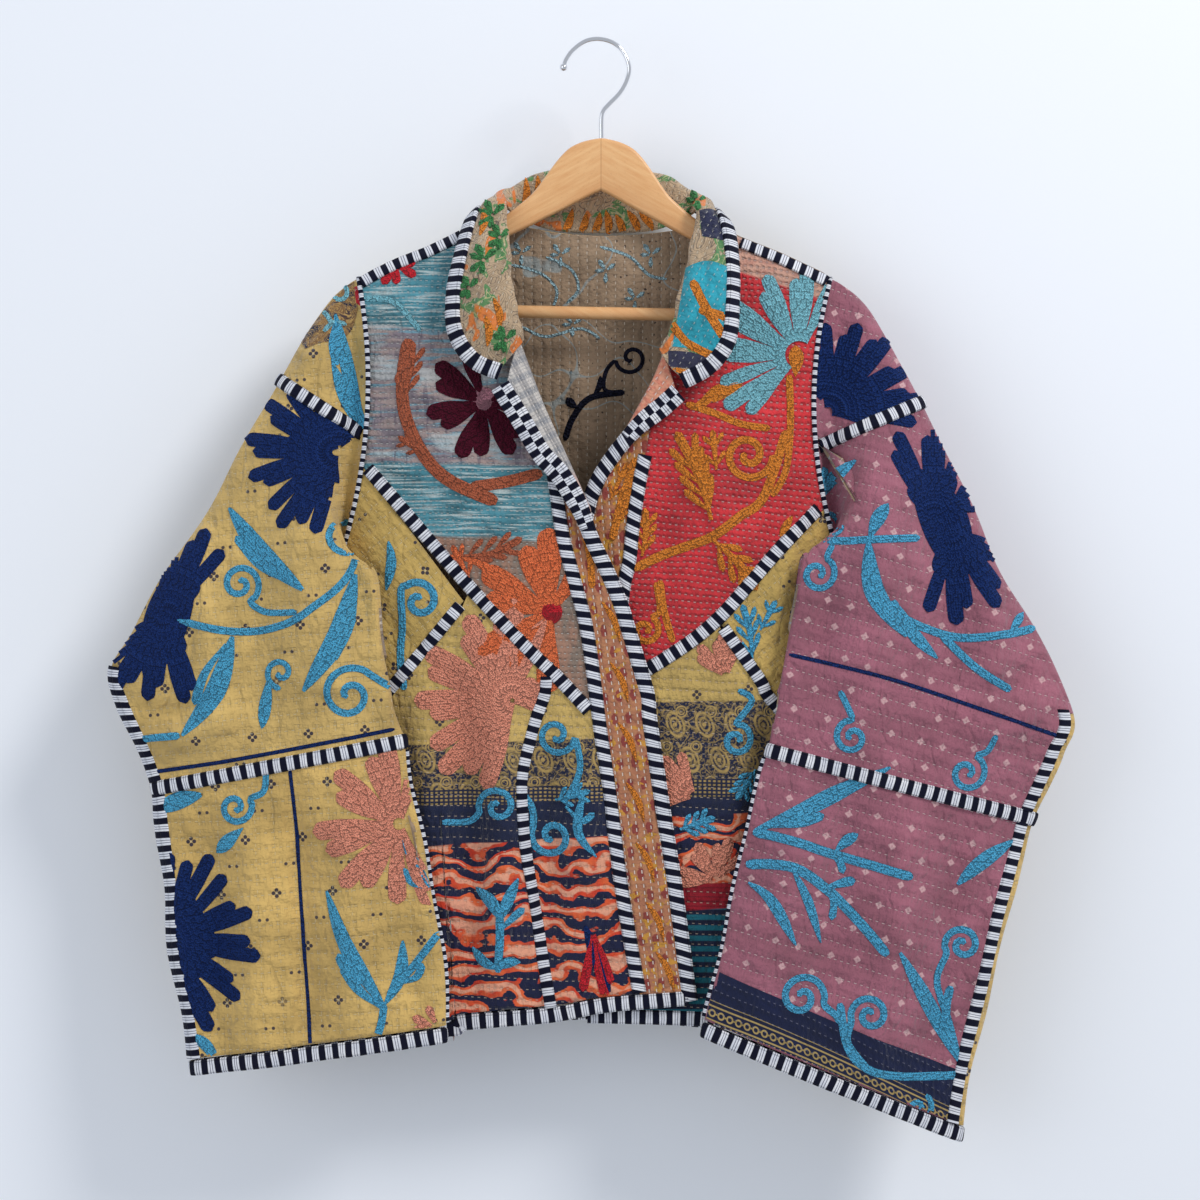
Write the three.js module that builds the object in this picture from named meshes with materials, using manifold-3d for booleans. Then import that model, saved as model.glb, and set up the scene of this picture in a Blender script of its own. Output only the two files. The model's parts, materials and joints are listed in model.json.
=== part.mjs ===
// A patchwork kantha jacket hanging on a wooden hanger. Millimetres, +Z up, the
// front faces -Y, the origin is the underside of the hook's crown.
import * as THREE from 'three';
import Module from 'manifold-3d';
import { mergeVertices } from 'three/addons/utils/BufferGeometryUtils.js';

const wasm = await Module();
wasm.setup();

// Driving sizes
const CLOTH = 2.4;        // quilted wall
const GAP = 0.35;         // each piece stops this far short of its seam
const WIRE = 4;           // hook wire diameter
const WOOD = 12;          // hanger body thickness
const BAR = 11;           // trouser bar diameter
const EDGE = 13;          // width of the edge bindings
const SEAM = 11;          // width of the seam bindings
const SLEEVE_SEAM = 12.5; // width of the sleeve rings
const PIPING = 3.4;
const TILT = 1.1 * Math.PI / 180;

const rows = (names, ...list) => list.map((r) => Object.fromEntries(names.map((k, i) => [k, r[i]])));

// Shoulder line seen from the front
const SHOULDER = rows(['x', 'z'], [-209, -204], [-193, -195], [-174, -186], [-149, -176.5], [-127, -166], [-86, -144], [0, -143],
  [86, -146], [117.5, -168], [155, -183], [191, -200], [197, -205]);
// Half widths of the flat-hanging body
const WIDTH = rows(['z', 'left', 'right'], [-150, 250, 236], [-330, 240, 222], [-420, 231, 212], [-452, 226, 206], [-600, 233, 213], [-860, 244, 229]);
// How far front and back stand off the hanger's plane
const DEPTH = rows(['z', 'front', 'back'], [-150, 36, 28], [-500, 35, 30], [-700, 28, 28], [-870, 22, 24]);

// Sleeve rings: o is the outer edge, i the inner one, y their depths, f and b how far front and back bulge, bow bends the chord
const RING = ['ox', 'oz', 'ix', 'iz', 'yo', 'yi', 'f', 'b', 'bow'];
const SLEEVE_L = rows(RING,
  [-209, -204, -226, -452, 0, 0, 0, 0, 17],
  [-232, -222, -230, -460, -3, -13, 24, 24, 8],
  [-256, -259, -222, -462, -9, -28, 22, 20, 4],
  [-291, -318, -208, -460, -15, -42, 20, 14, 6],
  [-330, -392, -193, -458, -19, -53, 20, 12, 0],
  [-374, -460, -186, -510, -22, -54, 20, 12, 0],
  [-402, -508, -180, -548, -23, -54, 19, 12, 0],
  [-419, -539, -177, -570, -26, -56, 18, 10, 0],
  [-411, -571, -174, -580, -26, -56, 18, 10, 0],
  [-396, -605, -170, -590, -26, -56, 18, 10, 0],
  [-383, -642, -166, -600, -26, -56, 18, 10, 0],
  [-379, -668, -161, -640, -26, -56, 18, 10, 0],
  [-372, -720, -150, -690, -29, -57, 17, 9, 0],
  [-368, -770, -140, -745, -31, -57, 17, 9, 0],
  [-357, -830, -132, -803, -32, -57, 16, 9, 0],
  [-348, -888, -130, -857, -33, -57, 16, 9, 0]);
const SLEEVE_R = rows(RING,
  [197, -204, 206, -452, 0, 0, 0, 0, -20],
  [221, -221, 210, -460, -3, -13, 24, 24, -8],
  [242, -250, 202, -462, -9, -28, 22, 20, -4],
  [268, -303, 188, -456, -15, -42, 20, 14, -6],
  [304, -371, 171, -444, -19, -53, 20, 12, 0],
  [336, -446, 163, -488, -22, -54, 20, 12, 0],
  [370, -506, 157, -524, -23, -54, 19, 12, 0],
  [404, -578, 150, -556, -26, -56, 18, 10, 0],
  [394, -612, 147, -574, -26, -56, 18, 10, 0],
  [382, -640, 144, -590, -26, -56, 18, 10, 0],
  [370, -668, 141, -608, -26, -56, 18, 10, 0],
  [362, -697, 133, -634, -26, -56, 18, 10, 0],
  [348, -745, 119, -692, -29, -57, 17, 9, 0],
  [336, -798, 105, -762, -31, -57, 17, 9, 0],
  [319, -865, 92, -815, -32, -57, 16, 9, 0],
  [305, -944, 84, -853, -33, -57, 16, 9, 0]);
const ELBOW = 7, LOWER = 10, CUFF = 15;

// The upper-arm seam runs straight from the outer edge to the armhole
const UPPER_SEAM_L = { ox: -276, oz: -293, ax: -203, az: -340, t: 0.531 };
const UPPER_SEAM_R = { ox: 273, oz: -312, ax: 181, az: -352, t: 0.562 };

// Seam lines on the body, seen from the front
const XZ = ['x', 'z'];
const NECK_L = rows(XZ, [-86, -144], [-88, -165], [-86, -200], [-80, -230], [-71, -256]);
const ROLL_L = rows(XZ, [-71, -256], [-52, -307], [-44, -326], [-30, -357], [-16, -388], [-5, -413], [5, -441]);
const PLACKET_L = rows(XZ, [-52, -307], [-46, -345], [-39, -385], [-33, -426], [-23, -465], [-13, -504], [-6, -552], [-1, -592], [7, -646], [17, -726], [32, -814], [37, -832]);
const EDGE_L = rows(XZ, [-88, -296], [-66, -332], [-51, -357], [-35, -375], [-19, -402], [-8, -430], [4, -455], [16, -484], [24, -510], [31, -533], [39, -562], [41, -583], [51, -651], [62, -722], [74, -813], [77, -828]);
const YOKE_L = rows(XZ, [-201, -367], [-164, -410], [-113, -469], [-66, -519], [-37, -547], [-6, -580]);
const GORE_L = rows(XZ, [-231, -614], [-173, -549], [-117, -482]);
const PANEL_L = rows(XZ, [-46.5, -540], [-48, -560], [-56, -583], [-66, -621], [-68, -646], [-65, -690], [-58, -735], [-51, -780], [-43, -828]);
const HEM_L = rows(XZ, [-243, -857], [-129, -853], [-119, -848], [-43, -841], [7, -832], [84, -826]);
const NECK_R = rows(XZ, [86, -146], [87, -165], [84, -200], [72, -235], [53, -269]);
const ROLL_R = rows(XZ, [53, -269], [44, -292], [29, -320], [13, -348], [0, -366]);
const PLACKET_R = rows(XZ, [44, -292], [43, -318], [39, -348], [33, -377], [27, -416], [24, -445], [18, -476], [15, -520], [15, -560], [20, -700], [27, -832]);
const EDGE_R = rows(XZ, [70, -301], [52, -317], [31, -334], [8, -361], [-6, -385], [-12, -406], [-18, -440], [-22, -476], [-26, -560], [-23, -700], [-17, -838]);
const YOKE_R = rows(XZ, [186, -402], [174, -414], [150, -439], [129, -463], [103, -493], [79, -514], [54, -531], [38, -541], [15, -558]);
const GORE_R = rows(XZ, [215, -640], [147, -569], [134, -548], [100, -500]);
const HEM_R = rows(XZ, [-24, -842], [100, -846], [228, -858]);
const HEM_BACK = rows(XZ, [-243, -859], [-47, -848], [25, -847], [80, -853], [228, -862]);
const NECK_BACK = rows(XZ, [-86, -144], [-66, -158], [0, -166], [70, -160], [86, -146]);

// Collar sections, from the left lapel round the back to the right one: s is the neck seam, r the roll, m the middle of the fall, e its edge
const COL = ['sx', 'sy', 'sz', 'rx', 'ry', 'rz', 'mx', 'my', 'mz', 'ex', 'ey', 'ez'];
const COLLAR = rows(COL,
  [-68, -43, -257, -67, -50, -262, -74, -57, -272, -84, -57, -284],
  [-72, -42, -246, -69, -52, -248, -86, -62, -262, -106, -57, -274],
  [-76, -37, -230, -73, -50, -228, -98, -64, -240, -120, -55, -251],
  [-79, -31, -212, -77, -44, -206, -100, -59, -214, -121, -50, -220],
  [-81.5, -21, -186, -80, -35, -178, -100, -50, -184, -116, -42, -189],
  [-83, -14, -158, -81, -25, -152, -98, -30, -151, -109, -26, -158],
  [-81.5, 0, -140.5, -83, -12, -138, -97, -15, -139, -105, -12, -146],
  [-78, 14, -144, -84, 12, -132, -96, 14, -133, -103, 17, -144],
  [-66, 21, -152, -76, 24, -127, -82, 32, -122, -88, 37, -134],
  [-40, 22, -160, -50, 31, -115, -53, 40, -108, -56, 45, -118],
  [0, 24, -162, 0, 34, -112, 0, 43, -106, 0, 49, -116],
  [44, 22, -160, 50, 31, -117, 53, 40, -110, 56, 45, -120],
  [68, 21, -151, 76, 24, -130, 82, 32, -125, 88, 37, -137],
  [78, 14, -146, 84, 12, -134, 93, 14, -136, 98, 17, -144],
  [81.5, 0, -142.5, 81, -12, -142, 94, -15, -145, 100, -14, -150],
  [83, -14, -160, 80, -25, -155, 95, -32, -158, 104, -30, -164],
  [80.5, -21, -188, 75, -35, -182, 94, -50, -188, 107, -44, -193],
  [77, -31, -212, 70, -44, -209, 92, -60, -220, 107, -52, -226],
  [69, -39, -236, 62, -50, -236, 86, -64, -248, 103, -58, -259],
  [60, -43, -258, 56, -51, -257, 74, -61, -270, 88, -58, -280],
  [50, -45, -267, 49, -52, -269, 58, -58, -284, 66, -58, -292]);

// ---- small maths ----
const clamp = (v, a, b) => Math.min(b, Math.max(a, v));
const smooth = (a, b, v) => { const t = clamp((v - a) / (b - a), 0, 1); return t * t * (3 - 2 * t); };
function look(table, key, name, v) {
  const up = table[table.length - 1][key] > table[0][key] ? 1 : -1;
  let i = 0;
  while (i < table.length - 2 && (table[i + 1][key] - v) * up < 0) i++;
  const a = table[i], b = table[i + 1];
  return a[name] + (b[name] - a[name]) * clamp((v - a[key]) / (b[key] - a[key]), 0, 1);
}
const cr = (a, b, c, d, t) => 0.5 * (2 * b + (c - a) * t + (2 * a - 5 * b + 4 * c - d) * t * t + (3 * b - a - 3 * c + d) * t * t * t);
function blendRows(table, s) {
  const n = table.length, i = clamp(Math.floor(s), 0, n - 2), t = s - i, out = {};
  const A = table[Math.max(0, i - 1)], B = table[i], C = table[i + 1], D = table[Math.min(n - 1, i + 2)];
  for (const k in B) out[k] = cr(A[k], B[k], C[k], D[k], t);
  return out;
}
// A line through table rows as a function of 0..1 of its length
function line(table) {
  const p = [];
  const n = table.length;
  for (let i = 0; i < n - 1; i++) for (let j = 0; j < 12; j++) p.push(blendRows(table, i + j / 12));
  p.push({ ...table[n - 1] });
  const d = [0];
  for (let i = 1; i < p.length; i++) d.push(d[i - 1] + Math.hypot(p[i].x - p[i - 1].x, p[i].z - p[i - 1].z));
  const f = (t) => {
    const v = clamp(t, 0, 1) * d[d.length - 1];
    let i = 1;
    while (i < d.length - 1 && d[i] < v) i++;
    const k = (v - d[i - 1]) / (d[i] - d[i - 1]);
    return { x: p[i - 1].x + (p[i].x - p[i - 1].x) * k, z: p[i - 1].z + (p[i].z - p[i - 1].z) * k };
  };
  f.length_mm = d[d.length - 1];
  return f;
}
// The same line moved sideways in the plane, to its left as it runs
function beside(f, by) {
  const g = (t) => {
    const a = f(t - 0.004), b = f(t + 0.004), c = f(t);
    const l = Math.hypot(b.x - a.x, b.z - a.z);
    return { x: c.x - (b.z - a.z) / l * by, z: c.z + (b.x - a.x) / l * by };
  };
  g.length_mm = f.length_mm;
  return g;
}
const part = (f, a, b) => Object.assign((t) => f(a + (b - a) * t), { length_mm: f.length_mm * Math.abs(b - a) });
// Two lines as one, meeting at share k
const join = (f, g, k) => (t) => (t < k ? f(t / k) : g((t - k) / (1 - k)));
function nearest(f, x, z) {
  let best = 0, d = 1e9;
  for (let i = 0; i <= 400; i++) {
    const p = f(i / 400), e = Math.hypot(p.x - x, p.z - z);
    if (e < d) { d = e; best = i / 400; }
  }
  return best;
}

// ---- depth of the body ----
const round = (u) => Math.pow(1 - Math.pow(clamp(Math.abs(u), 0, 1), 3), 1 / 2.2);
function stand(x, z, key) {
  const s = Math.max(0, look(SHOULDER, 'x', 'z', x) - z);
  const w = look(WIDTH, 'z', x < 0 ? 'left' : 'right', z);
  return 0.35 + (12 * (1 - Math.exp(-s / 2)) + look(DEPTH, 'z', key, z) * (1 - Math.exp(-s / 90))) * round(x / w);
}
const edgeL = line(EDGE_L);
const edgeX = (z) => look(EDGE_L, 'z', 'x', z);
const frontY = (x, z) => -stand(x, z, 'front');
const backY = (x, z) => stand(x, z, 'back');
// The right front lies under the left one
const rightY = (x, z) => frontY(x, z) + 8 * (1 - smooth(edgeX(z) + 15, edgeX(z) + 125, x)) * smooth(-300, -410, z);
const V = (x, y, z) => new THREE.Vector3(x, y, z);
const onto = (yf) => (p) => V(p.x, yf(p.x, p.z), p.z);
function normalOf(yf, out) {
  return (p) => {
    const h = 0.5;
    const fx = (yf(p.x + h, p.z) - yf(p.x - h, p.z)) / (2 * h), fz = (yf(p.x, p.z + h) - yf(p.x, p.z - h)) / (2 * h);
    return V(-fx * out, out, -fz * out).normalize();
  };
}
const frontN = normalOf(frontY, -1), backN = normalOf(backY, 1), rightN = normalOf(rightY, -1);

// ---- solids ----
const group = new THREE.Group();
function add(name, verts, tris, look3) {
  const pos = [], used = [];
  for (const t of tris) used.push(...t);
  let vol = 0;
  const a = V(0, 0, 0), b = V(0, 0, 0);
  for (let i = 0; i < used.length; i += 3) {
    const [p, q, r] = [verts[used[i]], verts[used[i + 1]], verts[used[i + 2]]];
    vol += p.dot(a.copy(q).cross(b.copy(r)));
  }
  if (vol < 0) for (let i = 0; i < used.length; i += 3) [used[i], used[i + 1]] = [used[i + 1], used[i]];
  for (const v of verts) pos.push(v.x, v.y, v.z);
  const g = new THREE.BufferGeometry();
  g.setAttribute('position', new THREE.Float32BufferAttribute(pos, 3));
  g.setIndex(used);
  g.computeVertexNormals();
  return mesh(name, g, look3);
}
function mesh(name, g, look3) {
  const m = new THREE.Mesh(g, new THREE.MeshStandardMaterial({ color: look3[0], roughness: look3[1], metalness: look3[2] }));
  m.name = name;
  group.add(m);
  return m;
}
const quad = (tris, a, b, c, d) => { tris.push([a, b, c], [a, c, d]); };

// A wall through a grid of points: P(u, v) is the outer face and N(u, v) points out of it
function wall(name, P, us, vs, { N = null, N0 = null, thick = CLOTH, closed = false, keep = null, look3 }) {
  const nu = us.length, nv = vs.length, out = [], inn = [];
  for (let i = 0; i < nu; i++) { out.push([]); for (let j = 0; j < nv; j++) out[i].push(P(us[i], vs[j])); }
  for (let i = 0; i < nu; i++) {
    inn.push([]);
    for (let j = 0; j < nv; j++) {
      let n;
      if (N) n = N(us[i], vs[j], out[i][j]);
      else {
        const a = closed ? out[(i + nu - 1) % nu][j] : out[Math.max(0, i - 1)][j], b = closed ? out[(i + 1) % nu][j] : out[Math.min(nu - 1, i + 1)][j];
        const c = out[i][Math.max(0, j - 1)], d = out[i][Math.min(nv - 1, j + 1)];
        n = b.clone().sub(a).cross(d.clone().sub(c)).normalize();
        if (N0) n = N0(n, us[i], vs[j], out[i][j]);
      }
      const q = out[i][j].clone().addScaledVector(n, -(typeof thick === 'function' ? thick(us[i], vs[j]) : thick));
      if (keep) keep(q, us[i], vs[j]);
      inn[i].push(q);
    }
  }
  const verts = [], O = [], I = [];
  for (let i = 0; i < nu; i++) { O.push([]); I.push([]); for (let j = 0; j < nv; j++) { O[i].push(verts.push(out[i][j]) - 1); I[i].push(verts.push(inn[i][j]) - 1); } }
  const tris = [], last = closed ? nu : nu - 1;
  for (let i = 0; i < last; i++) {
    const k = (i + 1) % nu;
    for (let j = 0; j < nv - 1; j++) { quad(tris, O[i][j], O[k][j], O[k][j + 1], O[i][j + 1]); quad(tris, I[i][j], I[i][j + 1], I[k][j + 1], I[k][j]); }
    quad(tris, O[i][0], I[i][0], I[k][0], O[k][0]);
    quad(tris, O[k][nv - 1], I[k][nv - 1], I[i][nv - 1], O[i][nv - 1]);
  }
  if (!closed) for (let j = 0; j < nv - 1; j++) {
    quad(tris, O[0][j + 1], I[0][j + 1], I[0][j], O[0][j]);
    quad(tris, O[nu - 1][j], I[nu - 1][j], I[nu - 1][j + 1], O[nu - 1][j + 1]);
  }
  return add(name, verts, tris, look3);
}
// A strip with one section along points that carry a normal n and a width direction w
function strip(name, pts, section, closed, look3) {
  const verts = [], tris = [], m = section.length, n = pts.length;
  for (const q of pts) for (const [a, b] of section) verts.push(q.p.clone().addScaledVector(q.w, a).addScaledVector(q.n, b));
  for (let i = 0; i < (closed ? n : n - 1); i++) {
    const k = (i + 1) % n;
    for (let j = 0; j < m; j++) { const l = (j + 1) % m; quad(tris, i * m + j, k * m + j, k * m + l, i * m + l); }
  }
  if (!closed) for (let j = 1; j < m - 1; j++) { tris.push([0, j, j + 1]); tris.push([(n - 1) * m, (n - 1) * m + j + 1, (n - 1) * m + j]); }
  return add(name, verts, tris, look3);
}
const steps = (n, a = 0, b = 1) => Array.from({ length: n + 1 }, (_, i) => a + (b - a) * i / n);
// Points along a line on the body, with normals and width directions
function runOn(f, N, n, yf, a = 0, b = 1) {
  const P = onto(yf), list = steps(n, a, b).map((t) => ({ q: f(t) }));
  return list.map((e, i) => {
    const p = P(e.q), nrm = N(e.q);
    const c = P(list[Math.max(0, i - 1)].q), d = P(list[Math.min(n, i + 1)].q);
    return { p, n: nrm, w: d.sub(c).cross(nrm).normalize() };
  });
}
const flatSection = (w, o, h) => [[-w / 2, o], [w / 2, o], [w / 2 - 1.2, o + h], [-w / 2 + 1.2, o + h]];
const beadSection = (w, t) => [[-w / 2, -CLOTH - t], [w / 2, -CLOTH - t * 0.4], [w / 2, t * 0.4], [-w / 2, t]];

// Colours
const OCHRE = ['#c4a05c', 0.9, 0], MAUVE = ['#965a69', 0.9, 0], TEAL = ['#5c8c98', 0.9, 0], RED = ['#c83237', 0.9, 0], TAUPE = ['#8c7662', 0.9, 0];
const TIGER = ['#c85c38', 0.9, 0], PLACKET = ['#a8704c', 0.9, 0], CHECK = ['#9a948c', 0.9, 0], PEACH = ['#d8a184', 0.9, 0], BEIGE = ['#b09678', 0.9, 0];
const STRIPE = ['#5a6480', 0.9, 0], BEECH = ['#e2aa6e', 0.5, 0], CHROME = ['#c8ccd2', 0.2, 1];

// ---- sleeves ----
function sleeveOf(table, side, seam) {
  const at = (t, s) => {
    // t runs from -1 (inner edge, back) through 0 (outer edge) to 1 (inner edge, front); s is the ring
    const r = blendRows(table, s), a = Math.abs(t), c = (1 - Math.cos(Math.PI * a)) / 2;
    const x = r.ox + (r.ix - r.ox) * c + r.bow * 4 * c * (1 - c), z = r.oz + (r.iz - r.oz) * c;
    const h = Math.pow(Math.max(0, Math.sin(Math.PI * a)), 0.8);
    const y = r.yo + (r.yi - r.yo) * c + (t >= 0 ? -r.f : r.b) * h;
    if (s >= 1) return V(x, y, z);
    const y0 = t === 0 ? 0 : t > 0 ? frontY(x, z) : backY(x, z);
    return V(x, y0 + (y - y0) * smooth(0, 1, s), z);
  };
  // which way the upper rows' own normal points, the same all over them
  const turn = at(0.41, 5).sub(at(0.39, 5)).cross(at(0.4, 5.1).sub(at(0.4, 4.9))).y < 0 ? 1 : -1;
  const bodyN = (t, s) => { const p = at(t, s); return t >= 0 ? (t === 0 ? V(0, 0, 1) : frontN(p)) : backN(p); };
  const N0 = (n, t, s) => {
    if (Math.abs(t) < 0.02 && s > 2) { const r = blendRows(table, s); return V(r.ox - r.ix, 0, r.oz - r.iz).normalize(); }
    const k = smooth(0, 0.8, s), flip = s < 7.5 ? turn : n.dot(outward(t, s)) < 0 ? -1 : 1;
    return s < 0.8 ? bodyN(t, s).lerp(n.clone().multiplyScalar(flip), k).normalize() : n.clone().multiplyScalar(flip);
  };
  const outward = (t, s) => {
    const r = blendRows(table, s), c = V((r.ox + r.ix) / 2, (r.yo + r.yi) / 2 + (r.b - r.f) / 2, (r.oz + r.iz) / 2);
    if (s < 1) c.y = 0;
    const p = at(t, s), d = p.clone().sub(c), e = V(r.ox - r.ix, 0, r.oz - r.iz).normalize();
    // across the flat of the sleeve depth decides, at its two edges the chord does
    return Math.abs(t) > 0.12 && Math.abs(t) < 0.88 ? V(0, t > 0 ? -1 : 1, 0) : e.multiplyScalar(Math.sign(d.dot(e)));
  };
  // The ring number where the upper-arm seam crosses t
  const seamAt = (t) => {
    const a = Math.abs(t);
    if (a >= seam.t) return 0;
    const side2 = (p) => (p.x - seam.ox) * (seam.az - seam.oz) - (p.z - seam.oz) * (seam.ax - seam.ox);
    let lo = 0, hi = 4;
    const f0 = Math.sign(side2(at(a, 0)));
    for (let i = 0; i < 40; i++) { const m = (lo + hi) / 2; if (Math.sign(side2(at(a, m))) === f0) lo = m; else hi = m; }
    return lo * smooth(seam.t, seam.t * 0.93, a);
  };
  return { at, N0, seamAt, side };
}
// Steps along s that keep a gap in mm
// Shares round a sleeve's half ring where its columns stand; the body's armhole edges use the same points
const T = [0, 0.16, 0.3, 0.42, 0.531, 0.562, 0.6, 0.705, 0.8, 0.9, 1];
function buildSleeve(tag, table, seam, clothUp, clothLow, backLow) {
  const S = sleeveOf(table, tag, seam);
  const mm = (t, s) => S.at(t, Math.min(CUFF, s + 0.02)).distanceTo(S.at(t, Math.max(0, s - 0.02))) / (Math.min(CUFF, s + 0.02) - Math.max(0, s - 0.02));
  const gapS = (t, s, d) => clamp(s + d / mm(t, s), 0, CUFF);
  const k = seam.t;
  const capT = [...T.filter((t) => t > 0 && t < k * 0.93).reverse().map((t) => -t), ...T.filter((t) => t < k * 0.93)];
  capT.unshift(-k * 0.925); capT.push(k * 0.925);
  const keepBody = null;
  wall(`sleeve_${tag}_cap`, (t, v) => { const a = gapS(t, 0, GAP), b = gapS(t, S.seamAt(t), -1.3); return S.at(t, a + (b - a) * v); }, capT, [0, 0.2, 0.42, 0.7, 1],
    { N0: (n, t, v, p) => S.N0(n, t, gapS(t, 0, GAP) + (S.seamAt(t) - gapS(t, 0, GAP)) * v), look3: clothUp });
  // upper piece: one piece folded round the outer edge, its two long edges meeting at the in-seam
  const upT = [...T.slice(1).reverse().map((t) => -t), ...T];
  upT[0] = -0.995; upT[upT.length - 1] = 0.995;
  const end = (t) => (backLow === clothLow || t >= 0 ? LOWER : ELBOW);
  if (backLow !== clothLow) upT.splice(upT.indexOf(0), 0, -0.006);
  // down to the elbow corner all columns share their rows; below it each runs to its own end
  const sUp = (t, v) => {
    const a = gapS(t, S.seamAt(t), Math.abs(t) < seam.t + 0.04 ? 1.3 : GAP), b = ELBOW - 0.15, c = gapS(t, end(t), -GAP);
    return v <= 0.78 ? a + (b - a) * v / 0.78 : b + (c - b) * (v - 0.78) / 0.22;
  };
  wall(`sleeve_${tag}_upper`, (t, v) => S.at(t, sUp(t, v)), upT, [0, 0.05, 0.12, 0.22, 0.34, 0.48, 0.63, 0.78, 0.86, 1], {
    N0: (n, t, v) => S.N0(n, t, sUp(t, v)),
    // the cloth is flatter where it gathers under the arm
    thick: (t, v) => CLOTH - 1.25 * smooth(0.5, 0.72, Math.abs(t)) * smooth(4.2, 3, sUp(t, v)),
    keep: (q, t, v) => {
      // neither wall passes the sleeve's middle plane
      const s = sUp(t, v), r = blendRows(table, s), m = s > 5.5 ? r.yo + (r.yi - r.yo) * (1 - Math.cos(Math.PI * t)) / 2 : (S.at(t, s).y + S.at(-t, s).y) / 2;
      if (s > 5.5 || Math.abs(t) > 0.05) q.y = t >= 0 ? Math.min(q.y, m - 0.75) : Math.max(q.y, m + 0.75);
    },
    look3: clothUp,
  });
  // lower pieces
  const lowT = [backLow === clothLow ? 0.03 : 0.05, 0.11, 0.22, 0.36, 0.5, 0.64, 0.78, 0.89, 0.97];
  const top = (t) => gapS(t, t > 0 ? LOWER : end(-1), GAP), bot = (t) => gapS(t, CUFF, -EDGE - GAP);
  for (const [side, sg, c] of [['front', 1, clothLow], ['back', -1, backLow]]) {
    const P = (t, v) => S.at(sg * t, top(sg * t) + (bot(sg * t) - top(sg * t)) * v);
    const mid = (t, v) => { const r = blendRows(table, top(sg * t) + (bot(sg * t) - top(sg * t)) * v); return r.yo + (r.yi - r.yo) * (1 - Math.cos(Math.PI * t)) / 2; };
    wall(`sleeve_${tag}_lower_${side}`, P, lowT, sg < 0 && backLow !== clothLow ? steps(8) : steps(6),
      { N0: (n, t) => S.N0(n, sg * t, 12), keep: (q, t, v) => { q.y = sg > 0 ? Math.min(q.y, mid(t, v) - 0.75) : Math.max(q.y, mid(t, v) + (backLow === clothLow ? 0.75 : 1.8)); }, look3: c });
  }
  // bindings
  const around = (list, sAt, wide) => {
    const pts = list.map((t) => S.at(t, sAt(t)));
    return list.map((t, i) => {
      const s = sAt(t), n = S.N0(S.at(t + 0.01, s).sub(S.at(t - 0.01, s)).cross(S.at(t, Math.min(CUFF, s + 0.05)).sub(S.at(t, Math.max(0, s - 0.05)))).normalize(), t, s);
      const c = pts[wide ? (i + pts.length - 1) % pts.length : Math.max(0, i - 1)], d = pts[wide ? (i + 1) % pts.length : Math.min(pts.length - 1, i + 1)];
      return { p: pts[i], n, w: d.clone().sub(c).cross(n).normalize() };
    });
  };
  const ringT = [...[0.05, 0.11, 0.19, 0.29, 0.4, 0.5, 0.6, 0.71, 0.81, 0.89, 0.95].reverse().map((t) => -t), 0, 0.05, 0.11, 0.19, 0.29, 0.4, 0.5, 0.6, 0.71, 0.81, 0.89, 0.95, 1];
  strip(`binding_lower_arm_${tag}`, around(ringT, () => LOWER, true), flatSection(SLEEVE_SEAM, 1.1, 2), true, STRIPE);
  const cuffS = (t) => gapS(t, CUFF, -EDGE / 2);
  strip(`binding_cuff_${tag}`, around(ringT, cuffS, true), beadSection(EDGE - 0.4, 1), true, STRIPE);
  const capRing = [-0.86, -0.76, -0.6, -0.4, -0.24, -0.1, 0, 0.1, 0.24, 0.4, 0.6, 0.76, 0.86].map((t) => t * k);
  strip(`binding_upper_arm_${tag}`, around(capRing, (t) => Math.max(0.3, S.seamAt(t)), false), flatSection(SLEEVE_SEAM - 1, 5.2, 2), false, STRIPE);
  const armHalf = [0.03, 0.07, 0.11, ...T.slice(1, 9)], armT = [...armHalf.slice().reverse().map((t) => -t), 0, ...armHalf];
  strip(`piping_armhole_${tag}`, armT.map((t, i) => {
    const p = S.at(t === 0 ? 1e-6 : t, 0), n = S.N0(V(0, 1, 0), t, 0);
    const c = S.at(Math.max(-1, t - 0.05), 0), d = S.at(Math.min(1, t + 0.05), 0);
    return { p, n, w: d.sub(c).cross(n).normalize() };
  }), flatSection(PIPING, 0.9, 1.6), false, STRIPE);
  const alongEdge = (t, a, b, n2, off) => steps(n2, a, b).map((s) => {
    const r = blendRows(table, s), e = V(r.ox - r.ix, r.yo - r.yi, r.oz - r.iz).normalize().multiplyScalar(t === 0 ? 1 : -1);
    const d = S.at(t, Math.min(CUFF, s + 0.3)).sub(S.at(t, Math.max(0, s - 0.3))).normalize();
    return { p: S.at(t, s), n: e, w: d.cross(e).normalize() };
  });
  const rim = (w, h) => [[-w / 2, 1.7], [w / 2, 1.7], [w / 2, 1.7 + h * 0.6], [0, 1.7 + h], [-w / 2, 1.7 + h * 0.6]];
  strip(`binding_outseam_low_${tag}`, alongEdge(0, gapS(0, LOWER, SLEEVE_SEAM / 2 + 1), gapS(0, CUFF, -EDGE - 1), 8), rim(7, 4), false, STRIPE);
  strip(`binding_outseam_up_${tag}`, alongEdge(0, ELBOW + 0.3, gapS(0, LOWER, -SLEEVE_SEAM / 2 - 1), 4), rim(7, 4), false, STRIPE);
  strip(`piping_inseam_${tag}`, alongEdge(1, gapS(1, LOWER, SLEEVE_SEAM / 2 + 1), gapS(1, CUFF, -EDGE - 1), 8), rim(3.4, 2), false, STRIPE);
  return S;
}
const left = buildSleeve('l', SLEEVE_L, UPPER_SEAM_L, OCHRE, OCHRE, OCHRE);
const right = buildSleeve('r', SLEEVE_R, UPPER_SEAM_R, MAUVE, MAUVE, OCHRE);

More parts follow.
